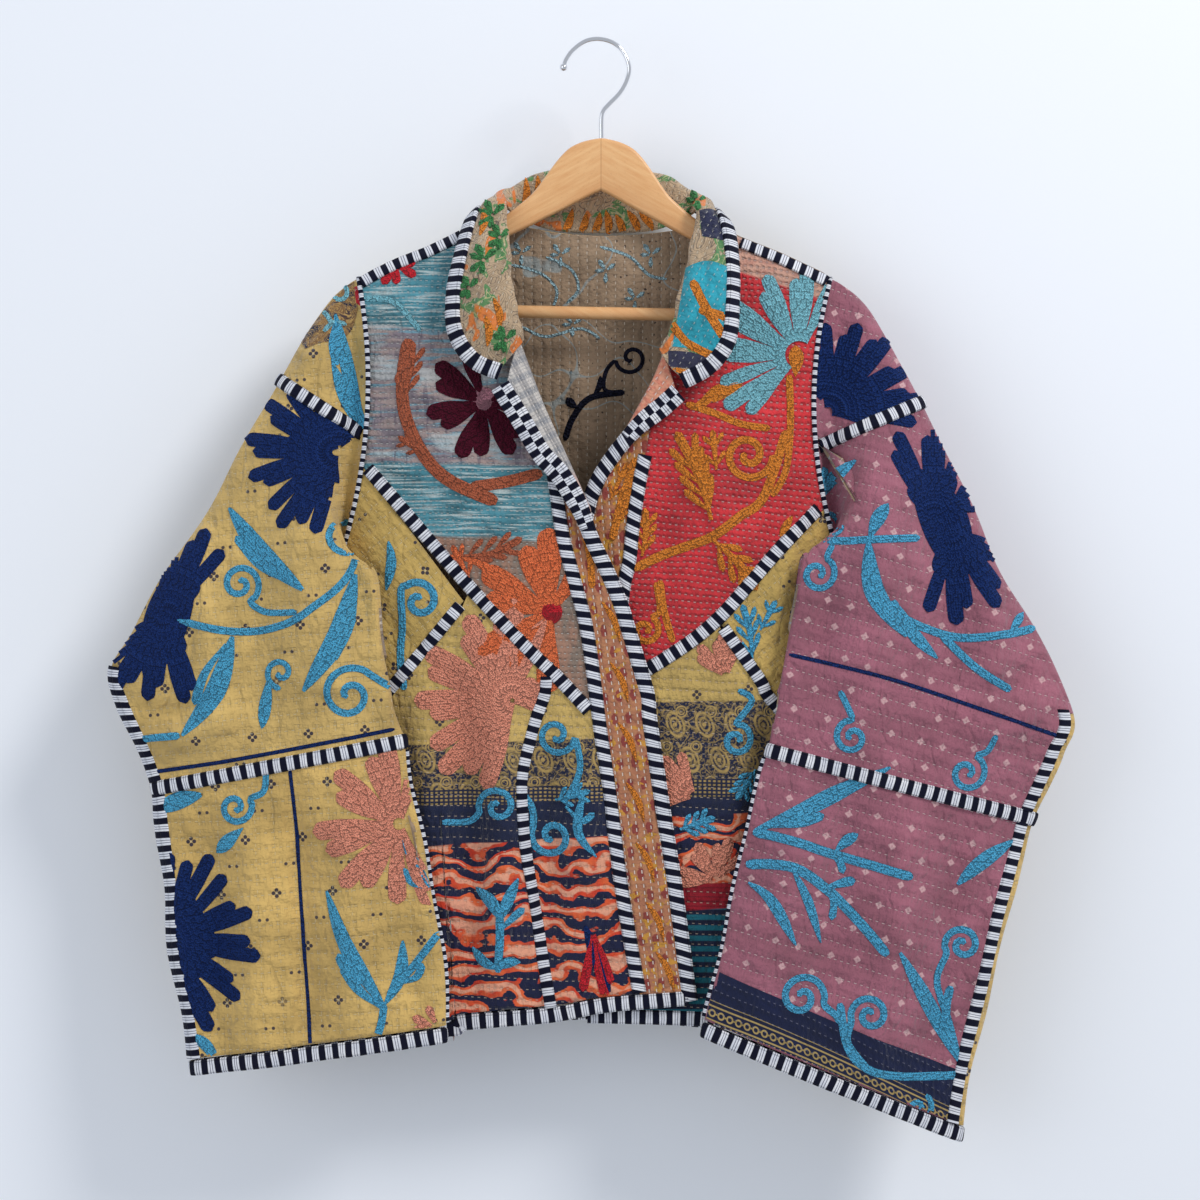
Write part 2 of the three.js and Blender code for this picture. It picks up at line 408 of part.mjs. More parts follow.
// ---- body ----
// A panel inside four lines: top and low run across it, lefts and rights run down it
function coons(name, top, low, lefts, rights, us, vs, yf, N, look3, keep) {
  const T0 = top(0), T1 = top(1), L0 = low(0), L1 = low(1);
  wall(name, (u, v) => {
    const t = top(u), l = low(u), a = lefts(v), b = rights(v);
    const mix = (k) => t[k] * (1 - v) + l[k] * v + a[k] * (1 - u) + b[k] * u - (T0[k] * (1 - u) * (1 - v) + T1[k] * u * (1 - v) + L0[k] * (1 - u) * v + L1[k] * u * v);
    return onto(yf)({ x: mix('x'), z: mix('z') });
  }, us, vs, { N: (u, v, p) => N(p), keep, look3 });
}
const keepFront = (q) => { q.y = Math.min(q.y, -GAP); }, keepBack = (q) => { q.y = Math.max(q.y, GAP); };
const shift = (f, dx, dz) => (t) => { const p = f(t); return { x: p.x + dx, z: p.z + dz }; };
const straight = (a, b) => (t) => ({ x: a.x + (b.x - a.x) * t, z: a.z + (b.z - a.z) * t });
// The armhole as the sleeve's own corner points, joined straight
const arm = (S, sign) => (t) => {
  let i = 0;
  while (i < T.length - 2 && T[i + 1] < t) i++;
  const a = S.at(sign * T[i] || 1e-9 * sign, 0), b = S.at(sign * T[i + 1], 0), k = (t - T[i]) / (T[i + 1] - T[i]);
  return { x: a.x + (b.x - a.x) * k, z: a.z + (b.z - a.z) * k };
};
const armL = arm(left, 1), armR = arm(right, 1);
const shoulder = (a, b) => (t) => { const x = a + (b - a) * t; return { x, z: look(SHOULDER, 'x', 'z', x) }; };
const sideLine = (key, sign, a, b) => (t) => { const z = a + (b - a) * t; return { x: sign * look(WIDTH, 'z', key, z), z }; };
const yokeL = line(YOKE_L), goreL = line(GORE_L), panelL = line(PANEL_L), placketL = line(PLACKET_L), rollL = line(ROLL_L), hemL = line(HEM_L), neckL = line(NECK_L);
const yokeR = line(YOKE_R), goreR = line(GORE_R), placketR = line(PLACKET_R), rollR = line(ROLL_R), edgeR = line(EDGE_R), hemR = line(HEM_R), neckR = line(NECK_R);
const span = (f, x0, z0, x1, z1) => part(f, nearest(f, x0, z0), nearest(f, x1, z1));
// Yokes: shoulder, armhole, diagonal, and the neck-to-placket line
const yokeRows = (end) => [0, 0.006, 0.03, 0.09, 0.17, ...T.filter((t) => t > 0.17 && t < end - 0.01).map((t) => t / end), 1].sort((a, b) => a - b).filter((v, i, l) => !i || v - l[i - 1] > 0.004);
const innerL = join(join(beside(neckL, -GAP), beside(part(rollL, 0, 0.26), -GAP), 0.68), beside(span(placketL, -52, -307, -4, -578), -GAP), 0.36);
coons('front_l_yoke', shoulder(-209 + GAP, -86 - GAP), shift(part(yokeL, 0, 0.99), 0.2, GAP), (v) => shift(armL, GAP, 0)(v * 0.6), innerL,
  [0, 0.1, 0.28, 0.5, 0.72, 0.88, 1], [0, 0.006, 0.03, 0.09, 0.17, 0.16 / 0.6, 0.38, 0.3 / 0.6, 0.6, 0.42 / 0.6, 0.78, 0.531 / 0.6, 0.562 / 0.6, 1], frontY, frontN, TEAL, keepFront);
coons('front_l_gore', shift(span(yokeL, -201, -367, -118, -464), -0.4, -GAP), sideLine('left', -1, -454, -608), (v) => shift(armL, GAP, 0)(0.6 + 0.395 * v), shift((t) => goreL(1 - t), -1.1, GAP),
  [0, 0.25, 0.5, 0.75, 1], [0, 0.105 / 0.4, 0.5, 0.75, 1], frontY, frontN, OCHRE, keepFront);
const hemTopL = beside(hemL, EDGE + GAP + 0.8);
coons('front_l_side', join(shift(goreL, 1.4, -GAP - 0.5), shift(span(yokeL, -115, -468, -49, -540), -0.4, -GAP), 0.62), (t) => span(hemTopL, -243, -842, -46, -828)(Math.abs(t - 0.612) < 0.001 ? 0.617 : t),
  sideLine('left', -1, -620, -842), shift(part(panelL, 0, nearest(panelL, -44, -826.2)), -GAP, 0), [0, 0.05, 0.16, 0.32, 0.48, 0.612, 0.62, 0.8, 1], steps(6), frontY, frontN, TIGER, keepFront);
coons('front_l_centre', shift(span(yokeL, -46, -541, -8, -577), -0.2, -GAP), span(hemTopL, -42.5, -828, 32, -815), shift(part(panelL, 0, nearest(panelL, -44, -826.2)), GAP, 0),
  shift(span(placketL, -3, -580, 32.5, -815), -GAP, 0), [0, 0.33, 0.67, 1], steps(6), frontY, frontN, TIGER, keepFront);
const edgeInL = beside(edgeL, -EDGE / 2 - GAP);
const placketOutL = join(beside(part(rollL, 0.3, 0.66), -GAP), part(beside(edgeL, -EDGE / 2 - GAP - 0.6), nearest(edgeL, 0, -446), nearest(edgeInL, 68, -814)), 0.2);
const placketInL = shift(span(placketL, -51, -312, 32.5, -815), GAP, 0);
coons('front_l_placket', straight(placketInL(0), placketOutL(0)), straight(placketInL(1), placketOutL(1)), placketInL, placketOutL, [0, 0.5, 1], steps(14), frontY, frontN, PLACKET, keepFront);
// Lapels: the front's edge turned out, lying in front of the yoke
function lapel(name, roll, edge, yf, lift, look3) {
  wall(name, (u, v) => {
    const a = roll(v), b = edge(v), x = a.x + (b.x - a.x) * u, z = a.z + (b.z - a.z) * u;
    return V(x, yf(x, z) - lift(u, v), z);
  }, [0, 0.5, 1], steps(6), { N: () => V(0, -1, 0), look3 });
}
const liftL = (u, v) => 5 + (8 - 4 * v) * Math.sqrt(u) + (1 - v) * 3, liftR = (u, v) => 5 + (7 - 3 * v) * Math.sqrt(u) + (1 - v) * 3;
lapel('lapel_l', part(rollL, 0.01, 0.8), part(beside(edgeL, EDGE / 2 + GAP + 0.4), 0.01, nearest(edgeL, -14, -415)), frontY, liftL, CHECK);
lapel('lapel_r', part(rollR, 0.02, 0.66), part(beside(edgeR, -EDGE / 2 - GAP - 0.4), 0.01, nearest(edgeR, 26, -339)), frontY, liftR, PEACH);

// Right front
const innerR = join(join(beside(neckR, GAP), beside(part(rollR, 0, 0.24), GAP), 0.7), beside(span(placketR, 44, -292, 15, -552), GAP), 0.36);
coons('front_r_yoke', shoulder(197 - GAP, 86 + GAP), shift(part(yokeR, 0, 0.99), -0.2, GAP), (v) => shift(armR, -GAP, 0)(v * 0.705), innerR,
  [0, 0.1, 0.28, 0.5, 0.72, 0.88, 1], [0, 0.006, 0.03, 0.09, 0.16 / 0.705, 0.33, 0.3 / 0.705, 0.51, 0.42 / 0.705, 0.67, 0.531 / 0.705, 0.6 / 0.705, 0.93, 1], rightY, rightN, RED, keepFront);
coons('front_r_gore', shift(span(yokeR, 186, -402, 102, -494), 0.4, -GAP), sideLine('right', 1, -454, -637), (v) => shift(armR, -GAP, 0)(0.705 + 0.29 * v), shift((t) => goreR(1 - t), 0.6, GAP),
  [0, 0.25, 0.5, 0.75, 1], [0, 0.095 / 0.295, 0.195 / 0.295, 1], rightY, rightN, OCHRE, keepFront);
const hemTopR = (t) => { const p = hemR(1 - t); return { x: p.x, z: p.z + EDGE + GAP }; };
hemTopR.length_mm = hemR.length_mm;
coons('front_r_lower', join(shift(goreR, -0.4, -GAP), shift(span(yokeR, 98, -498, 17, -557), 0.4, -GAP), 0.6), part(hemTopR, 0, nearest(hemTopR, 28, -830)),
  sideLine('right', 1, -642, -844), shift(span(placketR, 15, -558, 27, -829), GAP, 0), [0, 0.05, 0.16, 0.32, 0.48, 0.6, 0.8, 1], steps(6), rightY, rightN, TIGER, keepFront);
const edgeInR = beside(edgeR, EDGE / 2 + GAP);
const placketOutR = join(beside(part(rollR, 0.26, 0.6), GAP), part(beside(edgeR, EDGE / 2 + GAP + 0.3), nearest(edgeR, -9, -398), nearest(edgeInR, -10, -828)), 0.14);
const placketInR = shift(span(placketR, 44, -297, 27, -829), -GAP, 0);
coons('front_r_placket', straight(placketInR(0), placketOutR(0)), straight(placketInR(1), placketOutR(1)), placketInR, placketOutR, [0, 0.5, 1], steps(14), rightY, rightN, PLACKET, keepFront);

// Back: one panel from shoulders and neck to the hem
const neckBack = line(NECK_BACK), hemBack = line(HEM_BACK);
const ARM_SHARE = 0.37;
const backTop = (u) => (u < 0.3 ? shoulder(-209 + GAP, -86)(u / 0.3) : u > 0.7 ? shoulder(86, 197 - GAP)((u - 0.7) / 0.3) : neckBack((u - 0.3) / 0.4));
const backSide = (f, key, sign) => (v) => (v <= ARM_SHARE ? shift(f, -sign * GAP, 0)(v / ARM_SHARE) : sideLine(key, sign, -453, -845)((v - ARM_SHARE) / (1 - ARM_SHARE)));
coons('back', backTop, (u) => { const p = hemBack(u); return { x: p.x, z: p.z + EDGE + GAP }; }, backSide(arm(left, -1), 'left', -1), backSide(arm(right, -1), 'right', 1),
  [0, 0.03, 0.14, 0.3, 0.312, 0.335, 0.4, 0.5, 0.6, 0.665, 0.688, 0.7, 0.86, 0.97, 1], [0, 0.003, 0.014, ...T.slice(1).map((t) => t * ARM_SHARE), 0.5, 0.66, 0.83, 1], backY, backN, TAUPE, keepBack);

// ---- collar ----
const colU = [0, 0.35, 0.7, 1, 1.5, 2, 2.5, 3];
const collarAt = (u, s) => {
  const r = blendRows(COLLAR, s), g = (k) => ['s', 'r', 'm', 'e'].map((c) => r[c + k]);
  const f = (q) => { const i = clamp(Math.floor(u), 0, 2); return cr(q[Math.max(0, i - 1)], q[i], q[i + 1], q[Math.min(3, i + 2)], u - i); };
  return V(f(g('x')), f(g('y')), f(g('z')));
};
wall('collar', collarAt, colU, steps(24, 0, COLLAR.length - 1), { N0: (n) => n.clone().multiplyScalar(-1), look3: BEIGE });
strip('binding_collar', steps(24, 0, COLLAR.length - 1).map((s) => {
  const p = collarAt(3, s), q = collarAt(2.8, s), e = p.clone().sub(q).normalize();
  const a = collarAt(3, Math.max(0, s - 0.2)), b = collarAt(3, Math.min(COLLAR.length - 1, s + 0.2));
  const t = b.sub(a).normalize(), n = e.clone().cross(t).normalize();
  const w = t.clone().cross(n).normalize();
  if (w.dot(e) < 0) w.negate();
  return { p, n, w };
}), [[0.9, -3.4], [11.5, -2.6], [12.4, -1.2], [11.5, 0.4], [0.9, 1.2]], false, STRIPE);

// ---- bindings on the body ----
const seamOn = (name, f, n, yf, N, a, b, w = SEAM, o = 0.8) => strip(name, runOn(f, N, n, yf, a, b), flatSection(w, o, 2), false, STRIPE);
const sh = (a, b) => shoulder(a, b);
seamOn('binding_shoulder_l', (t) => { const p = sh(-203, -122)(t); return { x: p.x, z: p.z - 8.5 }; }, 6, frontY, frontN, 0, 1, 10, 1);
seamOn('binding_shoulder_r', (t) => { const p = sh(190, 121)(t); return { x: p.x, z: p.z - 8.5 }; }, 6, frontY, frontN, 0, 1, 10, 1);
seamOn('binding_yoke_l', yokeL, 12, frontY, frontN, 0.035, 0.955);
seamOn('binding_yoke_r', yokeR, 12, rightY, rightN, 0.03, 0.92);
seamOn('binding_gore_l', goreL, 6, frontY, frontN, 0.05, 0.93, SEAM, 1.3);
seamOn('binding_gore_r', goreR, 6, rightY, rightN, 0.05, 0.93, SEAM, 1.3);
seamOn('binding_panel_l', panelL, 8, frontY, frontN, nearest(panelL, -51, -569), nearest(panelL, -44, -826));
seamOn('binding_placket_l', placketL, 14, frontY, frontN, nearest(placketL, -42, -368), nearest(placketL, 32, -813));
seamOn('binding_placket_r', placketR, 14, rightY, rightN, nearest(placketR, 37, -358), nearest(placketR, 27, -827));
// Front edges: on the lapel they stand off with it, below they close the placket
function edgeRun(f, yf, N, n, a, b, liftAt) {
  return runOn(f, N, n, yf, a, b).map((q, i) => { const t = a + (b - a) * i / n; q.p.y -= liftAt(t); return q; });
}
const eL = nearest(edgeL, -14, -415), eR = nearest(edgeR, 26, -339);
strip('binding_edge_l', edgeRun(edgeL, frontY, () => V(0, -1, 0), 26, 0.015, 0.985, (t) => (t < eL ? liftL(1, t / eL) : liftL(1, 1) * smooth(eL + 0.1, eL, t))), beadSection(EDGE - 0.4, 1), false, STRIPE);
strip('binding_edge_r', edgeRun(edgeR, rightY, () => V(0, -1, 0), 22, 0.02, 0.985, (t) => (t < eR ? liftR(1, t / eR) : liftR(1, 1) * smooth(eR + 0.09, eR, t))), beadSection(EDGE - 0.4, 1), false, STRIPE);
const hemMid = (f, up) => (t) => { const p = f(t); return { x: p.x, z: p.z + up }; };
strip('binding_hem_l', runOn(hemMid(hemL, EDGE / 2), frontN, 10, frontY, 0.012, nearest(hemL, 68, -827)), beadSection(EDGE - 0.6, 1), false, STRIPE);
strip('binding_hem_r', runOn(hemMid(hemR, EDGE / 2), rightN, 8, rightY, nearest(hemR, -8, -842), 0.988), beadSection(EDGE - 0.6, 1), false, STRIPE);
strip('binding_hem_back', runOn(hemMid(hemBack, EDGE / 2), backN, 14, backY, 0.012, 0.988), beadSection(EDGE - 0.6, 1), false, STRIPE);

// ---- hanger ----
const ARM = rows(['x', 'top', 'low'], [0, -83, -128], [16, -86.5, -136.5], [28, -92, -143], [38, -103, -148.5], [49, -119, -154], [58, -132, -159], [76, -147.5, -168],
  [88, -155.5, -174], [100, -165, -181], [127, -179, -197], [160, -195, -214], [184, -207, -228], [193, -213, -247], [200, -220, -247], [205, -231, -240]);
const outline = new THREE.Shape();
outline.moveTo(0, ARM[0].top);
for (const r of ARM.slice(1)) outline.lineTo(r.x, r.top);
for (const r of ARM.slice(0, -1).reverse()) { if (r.x === 184) outline.lineTo(184, -244); outline.lineTo(r.x, r.low); }
for (const r of ARM.slice(1)) { outline.lineTo(-r.x, r.low); if (r.x === 184) outline.lineTo(-184, -244); }
for (const r of ARM.slice(1).reverse()) outline.lineTo(-r.x, r.top);
const turn = new THREE.Matrix4().makeTranslation(0, 0, -100).multiply(new THREE.Matrix4().makeRotationY(TILT)).multiply(new THREE.Matrix4().makeTranslation(0, 0, 100));
const stand90 = new THREE.Matrix4().makeRotationX(Math.PI / 2);
const solid = (g) => {
  const h = g.clone(); h.deleteAttribute('normal'); if (h.getAttribute('uv')) h.deleteAttribute('uv');
  const w = mergeVertices(h, 1e-4);
  return new wasm.Manifold(new wasm.Mesh({ numProp: 3, vertProperties: w.getAttribute('position').array, triVerts: new Uint32Array(w.getIndex().array) }));
};
const back3 = (man) => {
  const m = man.getMesh(), g = new THREE.BufferGeometry();
  g.setAttribute('position', new THREE.BufferAttribute(new Float32Array(m.vertProperties), 3));
  g.setIndex(Array.from(m.triVerts)); g.computeVertexNormals();
  return g;
};
const slab = new THREE.ExtrudeGeometry(outline, { depth: WOOD - 3, bevelEnabled: true, bevelThickness: 1.5, bevelSize: 1.5, bevelOffset: -1.5, bevelSegments: 1, curveSegments: 4 });
slab.translate(0, 0, -(WOOD - 3) / 2).applyMatrix4(stand90).applyMatrix4(turn);
const stemHole = new THREE.CylinderGeometry(WIRE / 2 + 0.3, WIRE / 2 + 0.3, 40, 12).applyMatrix4(stand90).translate(0, 0, -82);
const tenon = new THREE.CylinderGeometry(3.3, 3.3, 388, 12).rotateZ(Math.PI / 2).translate(0, 0, -234).applyMatrix4(turn);
const wood = solid(slab).subtract(solid(stemHole)).subtract(solid(tenon));
mesh('hanger_body', back3(wood), BEECH);
const barPts = rows(['r', 'h'], [0, -193.4], [3, -193.4], [3, -183.6], [BAR / 2, -183.6], [BAR / 2, 183.6], [3, 183.6], [3, 193.4], [0, 193.4]).map((q) => new THREE.Vector2(q.r, q.h));
const bar = new THREE.LatheGeometry(barPts, 14).rotateZ(Math.PI / 2).translate(0, 0, -234).applyMatrix4(turn);
mesh('hanger_bar', back3(solid(bar)), BEECH);
const HOOK = rows(['x', 'z'], [-32.7, -22.1], [-30.5, -15.5], [-24.5, -7.2], [-14, 0.3], [-2.5, 2.3], [9.8, -0.9], [19.1, -9.4], [23.8, -22.1], [21.7, -33.5], [15.7, -44.2], [5.8, -54.5], [1.4, -60], [0, -67], [0, -84], [0, -101]);
const hookLine = HOOK.map((q) => V(q.x, 0, q.z));
const hookPath = new THREE.CatmullRomCurve3(hookLine, false, 'centripetal');
const hookPts = steps(44).map((t) => hookPath.getPointAt(t));
const hookTan = steps(44).map((t) => hookPath.getTangentAt(t));
const circle = steps(9).slice(0, 9).map((a) => [Math.cos(a * Math.PI * 2) * WIRE / 2, Math.sin(a * Math.PI * 2) * WIRE / 2]);
const wire = strip('hook_wire', hookPts.map((p, i) => ({ p, n: V(0, 1, 0), w: hookTan[i].clone().cross(V(0, 1, 0)).normalize() })), circle, false, CHROME);
group.remove(wire);
const ball = new THREE.SphereGeometry(3.4, 12, 8).translate(hookPts[0].x, 0, hookPts[0].z);
mesh('hook', back3(solid(wire.geometry).add(solid(ball))), CHROME);

export default group;
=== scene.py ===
"""A patchwork kantha jacket on a wooden hanger: looks for the part's solids.
Sizes are in millimetres until a mesh is made; a point given as (px, py) is a place seen from the front,
where 1 px is 0.85 mm and (601.5, 34) is the origin."""
import json
import math

import bpy
import numpy as np
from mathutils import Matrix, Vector
from mathutils.bvhtree import BVHTree

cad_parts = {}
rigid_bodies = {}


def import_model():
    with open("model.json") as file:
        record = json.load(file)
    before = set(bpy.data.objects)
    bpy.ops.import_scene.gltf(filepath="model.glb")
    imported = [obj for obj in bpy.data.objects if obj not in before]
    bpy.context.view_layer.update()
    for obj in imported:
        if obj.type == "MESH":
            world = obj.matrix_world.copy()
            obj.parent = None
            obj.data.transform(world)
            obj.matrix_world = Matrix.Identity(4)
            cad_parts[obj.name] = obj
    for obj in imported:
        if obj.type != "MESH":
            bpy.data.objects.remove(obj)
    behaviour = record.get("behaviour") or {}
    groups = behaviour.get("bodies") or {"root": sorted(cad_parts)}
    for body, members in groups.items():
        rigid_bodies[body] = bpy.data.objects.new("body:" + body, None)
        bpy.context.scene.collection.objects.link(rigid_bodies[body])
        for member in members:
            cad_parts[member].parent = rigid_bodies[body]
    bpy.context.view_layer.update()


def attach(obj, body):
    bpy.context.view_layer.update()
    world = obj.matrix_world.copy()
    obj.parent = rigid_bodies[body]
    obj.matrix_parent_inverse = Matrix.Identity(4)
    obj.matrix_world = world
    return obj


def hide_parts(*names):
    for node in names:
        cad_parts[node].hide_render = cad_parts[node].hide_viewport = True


for old in list(bpy.data.objects):
    bpy.data.objects.remove(old, do_unlink=True)
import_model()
PX = 0.85
CLOTH, EDGE, SEAM, SLEEVE_SEAM = 2.4, 13.0, 11.0, 12.5
TILT = math.radians(1.1)


def X(px):
    return (np.asarray(px, float) - 601.5) * PX


def Z(py):
    return (34 - np.asarray(py, float)) * PX


def tab(names, *rows):
    return {k: np.array([r[i] for r in rows], float) for i, k in enumerate(names)}


# ---------------------------------------------------------------- the part's tables
SHOULDER = tab("xz", [-209, -204], [-193, -195], [-174, -186], [-149, -176.5], [-127, -166], [-86, -144], [0, -143],
               [86, -146], [117.5, -168], [155, -183], [191, -200], [197, -205])
WIDTH = tab(["z", "left", "right"], [-150, 250, 236], [-330, 240, 222], [-420, 231, 212], [-452, 226, 206], [-600, 233, 213], [-860, 244, 229])
DEPTH = tab(["z", "front", "back"], [-150, 36, 28], [-500, 35, 30], [-700, 28, 28], [-870, 22, 24])
RING = ["ox", "oz", "ix", "iz", "yo", "yi", "f", "b", "bow"]
SLEEVE_L = tab(RING,
               [-209, -204, -226, -452, 0, 0, 0, 0, 17], [-232, -222, -230, -460, -3, -13, 24, 24, 8],
               [-256, -259, -222, -462, -9, -28, 22, 20, 4], [-291, -318, -208, -460, -15, -42, 20, 14, 6],
               [-330, -392, -193, -458, -19, -53, 20, 12, 0], [-374, -460, -186, -510, -22, -54, 20, 12, 0],
               [-402, -508, -180, -548, -23, -54, 19, 12, 0], [-419, -539, -177, -570, -26, -56, 18, 10, 0],
               [-411, -571, -174, -580, -26, -56, 18, 10, 0], [-396, -605, -170, -590, -26, -56, 18, 10, 0],
               [-383, -642, -166, -600, -26, -56, 18, 10, 0], [-379, -668, -161, -640, -26, -56, 18, 10, 0],
               [-372, -720, -150, -690, -29, -57, 17, 9, 0], [-368, -770, -140, -745, -31, -57, 17, 9, 0],
               [-357, -830, -132, -803, -32, -57, 16, 9, 0], [-348, -888, -130, -857, -33, -57, 16, 9, 0])
SLEEVE_R = tab(RING,
               [197, -204, 206, -452, 0, 0, 0, 0, -20], [221, -221, 210, -460, -3, -13, 24, 24, -8],
               [242, -250, 202, -462, -9, -28, 22, 20, -4], [268, -303, 188, -456, -15, -42, 20, 14, -6],
               [304, -371, 171, -444, -19, -53, 20, 12, 0], [336, -446, 163, -488, -22, -54, 20, 12, 0],
               [370, -506, 157, -524, -23, -54, 19, 12, 0], [404, -578, 150, -556, -26, -56, 18, 10, 0],
               [394, -612, 147, -574, -26, -56, 18, 10, 0], [382, -640, 144, -590, -26, -56, 18, 10, 0],
               [370, -668, 141, -608, -26, -56, 18, 10, 0], [362, -697, 133, -634, -26, -56, 18, 10, 0],
               [348, -745, 119, -692, -29, -57, 17, 9, 0], [336, -798, 105, -762, -31, -57, 17, 9, 0],
               [319, -865, 92, -815, -32, -57, 16, 9, 0], [305, -944, 84, -853, -33, -57, 16, 9, 0])
ELBOW, LOWER, CUFF = 7, 10, 15
UPPER_SEAM_L = dict(ox=-276, oz=-293, ax=-203, az=-340, t=0.531)
UPPER_SEAM_R = dict(ox=273, oz=-312, ax=181, az=-352, t=0.562)
NECK_L = tab("xz", [-86, -144], [-88, -165], [-86, -200], [-80, -230], [-71, -256])
ROLL_L = tab("xz", [-71, -256], [-52, -307], [-44, -326], [-30, -357], [-16, -388], [-5, -413], [5, -441])
PLACKET_L = tab("xz", [-52, -307], [-46, -345], [-39, -385], [-33, -426], [-23, -465], [-13, -504], [-6, -552], [-1, -592], [7, -646], [17, -726], [32, -814], [37, -832])
EDGE_L = tab("xz", [-88, -296], [-66, -332], [-51, -357], [-35, -375], [-19, -402], [-8, -430], [4, -455], [16, -484], [24, -510], [31, -533], [39, -562], [41, -583], [51, -651], [62, -722], [74, -813], [77, -828])
YOKE_L = tab("xz", [-201, -367], [-164, -410], [-113, -469], [-66, -519], [-37, -547], [-6, -580])
GORE_L = tab("xz", [-231, -614], [-173, -549], [-117, -482])
PANEL_L = tab("xz", [-46.5, -540], [-48, -560], [-56, -583], [-66, -621], [-68, -646], [-65, -690], [-58, -735], [-51, -780], [-43, -828])
HEM_L = tab("xz", [-243, -857], [-129, -853], [-119, -848], [-43, -841], [7, -832], [84, -826])
NECK_R = tab("xz", [86, -146], [87, -165], [84, -200], [72, -235], [53, -269])
ROLL_R = tab("xz", [53, -269], [44, -292], [29, -320], [13, -348], [0, -366])
PLACKET_R = tab("xz", [44, -292], [43, -318], [39, -348], [33, -377], [27, -416], [24, -445], [18, -476], [15, -520], [15, -560], [20, -700], [27, -832])
EDGE_R = tab("xz", [70, -301], [52, -317], [31, -334], [8, -361], [-6, -385], [-12, -406], [-18, -440], [-22, -476], [-26, -560], [-23, -700], [-17, -838])
YOKE_R = tab("xz", [186, -402], [174, -414], [150, -439], [129, -463], [103, -493], [79, -514], [54, -531], [38, -541], [15, -558])
GORE_R = tab("xz", [215, -640], [147, -569], [134, -548], [100, -500])
HEM_R = tab("xz", [-24, -842], [100, -846], [228, -858])
HEM_BACK = tab("xz", [-243, -859], [-47, -848], [25, -847], [80, -853], [228, -862])
NECK_BACK = tab("xz", [-86, -144], [-66, -158], [0, -166], [70, -160], [86, -146])
COLLAR = tab(["sx", "sy", "sz", "rx", "ry", "rz", "mx", "my", "mz", "ex", "ey", "ez"],
             [-68, -43, -257, -67, -50, -262, -74, -57, -272, -84, -57, -284],
             [-72, -42, -246, -69, -52, -248, -86, -62, -262, -106, -57, -274],
             [-76, -37, -230, -73, -50, -228, -98, -64, -240, -120, -55, -251],
             [-79, -31, -212, -77, -44, -206, -100, -59, -214, -121, -50, -220],
             [-81.5, -21, -186, -80, -35, -178, -100, -50, -184, -116, -42, -189],
             [-83, -14, -158, -81, -25, -152, -98, -30, -151, -109, -26, -158],
             [-81.5, 0, -140.5, -83, -12, -138, -97, -15, -139, -105, -12, -146],
             [-78, 14, -144, -84, 12, -132, -96, 14, -133, -103, 17, -144],
             [-66, 21, -152, -76, 24, -127, -82, 32, -122, -88, 37, -134],
             [-40, 22, -160, -50, 31, -115, -53, 40, -108, -56, 45, -118],
             [0, 24, -162, 0, 34, -112, 0, 43, -106, 0, 49, -116],
             [44, 22, -160, 50, 31, -117, 53, 40, -110, 56, 45, -120],
             [68, 21, -151, 76, 24, -130, 82, 32, -125, 88, 37, -137],
             [78, 14, -146, 84, 12, -134, 93, 14, -136, 98, 17, -144],
             [81.5, 0, -142.5, 81, -12, -142, 94, -15, -145, 100, -14, -150],
             [83, -14, -160, 80, -25, -155, 95, -32, -158, 104, -30, -164],
             [80.5, -21, -188, 75, -35, -182, 94, -50, -188, 107, -44, -193],
             [77, -31, -212, 70, -44, -209, 92, -60, -220, 107, -52, -226],
             [69, -39, -236, 62, -50, -236, 86, -64, -248, 103, -58, -259],
             [60, -43, -258, 56, -51, -257, 74, -61, -270, 88, -58, -280],
             [50, -45, -267, 49, -52, -269, 58, -58, -284, 66, -58, -292])


# ---------------------------------------------------------------- small maths
def look(t, key, name, v):
    k, w = t[key], t[name]
    return np.interp(v, k[::-1], w[::-1]) if k[0] > k[-1] else np.interp(v, k, w)


def sm(a, b, v):
    t = np.clip((np.asarray(v, float) - a) / (b - a), 0, 1)
    return t * t * (3 - 2 * t)


def cr(a, b, c, d, t):
    return 0.5 * (2 * b + (c - a) * t + (2 * a - 5 * b + 4 * c - d) * t * t + (3 * b - a - 3 * c + d) * t ** 3)


def blend(t, s):
    n = len(next(iter(t.values())))
    s = np.asarray(s, float)
    i = np.clip(np.floor(s).astype(int), 0, n - 2)
    f = s - i
    A, D = np.maximum(i - 1, 0), np.minimum(i + 2, n - 1)
    return {k: cr(v[A], v[i], v[i + 1], v[D], f) for k, v in t.items()}


def line(t):
    n = len(t["x"])
    r = blend(t, np.linspace(0, n - 1, (n - 1) * 12 + 1))
    d = np.concatenate([[0], np.cumsum(np.hypot(np.diff(r["x"]), np.diff(r["z"])))])
    return lambda u: (np.interp(np.clip(u, 0, 1), d / d[-1], r["x"]), np.interp(np.clip(u, 0, 1), d / d[-1], r["z"]))


def beside(f, by):
    def g(u):
        u = np.asarray(u, float)
        ax, az = f(u - 0.004)
        bx, bz = f(u + 0.004)
        cx, cz = f(u)
        n = np.hypot(bx - ax, bz - az)
        return cx - (bz - az) / n * by, cz + (bx - ax) / n * by
    return g


def part(f, a, b):
    return lambda u: f(a + (b - a) * np.asarray(u, float))


def join(f, g, k):
    def h(u):
        u = np.asarray(u, float)
        a, b = f(np.clip(u / k, 0, 1)), g(np.clip((u - k) / (1 - k), 0, 1))
        return np.where(u < k, a[0], b[0]), np.where(u < k, a[1], b[1])
    return h


def nearest(f, x, z):
    u = np.linspace(0, 1, 401)
    px, pz = f(u)
    return float(u[np.argmin(np.hypot(px - x, pz - z))])


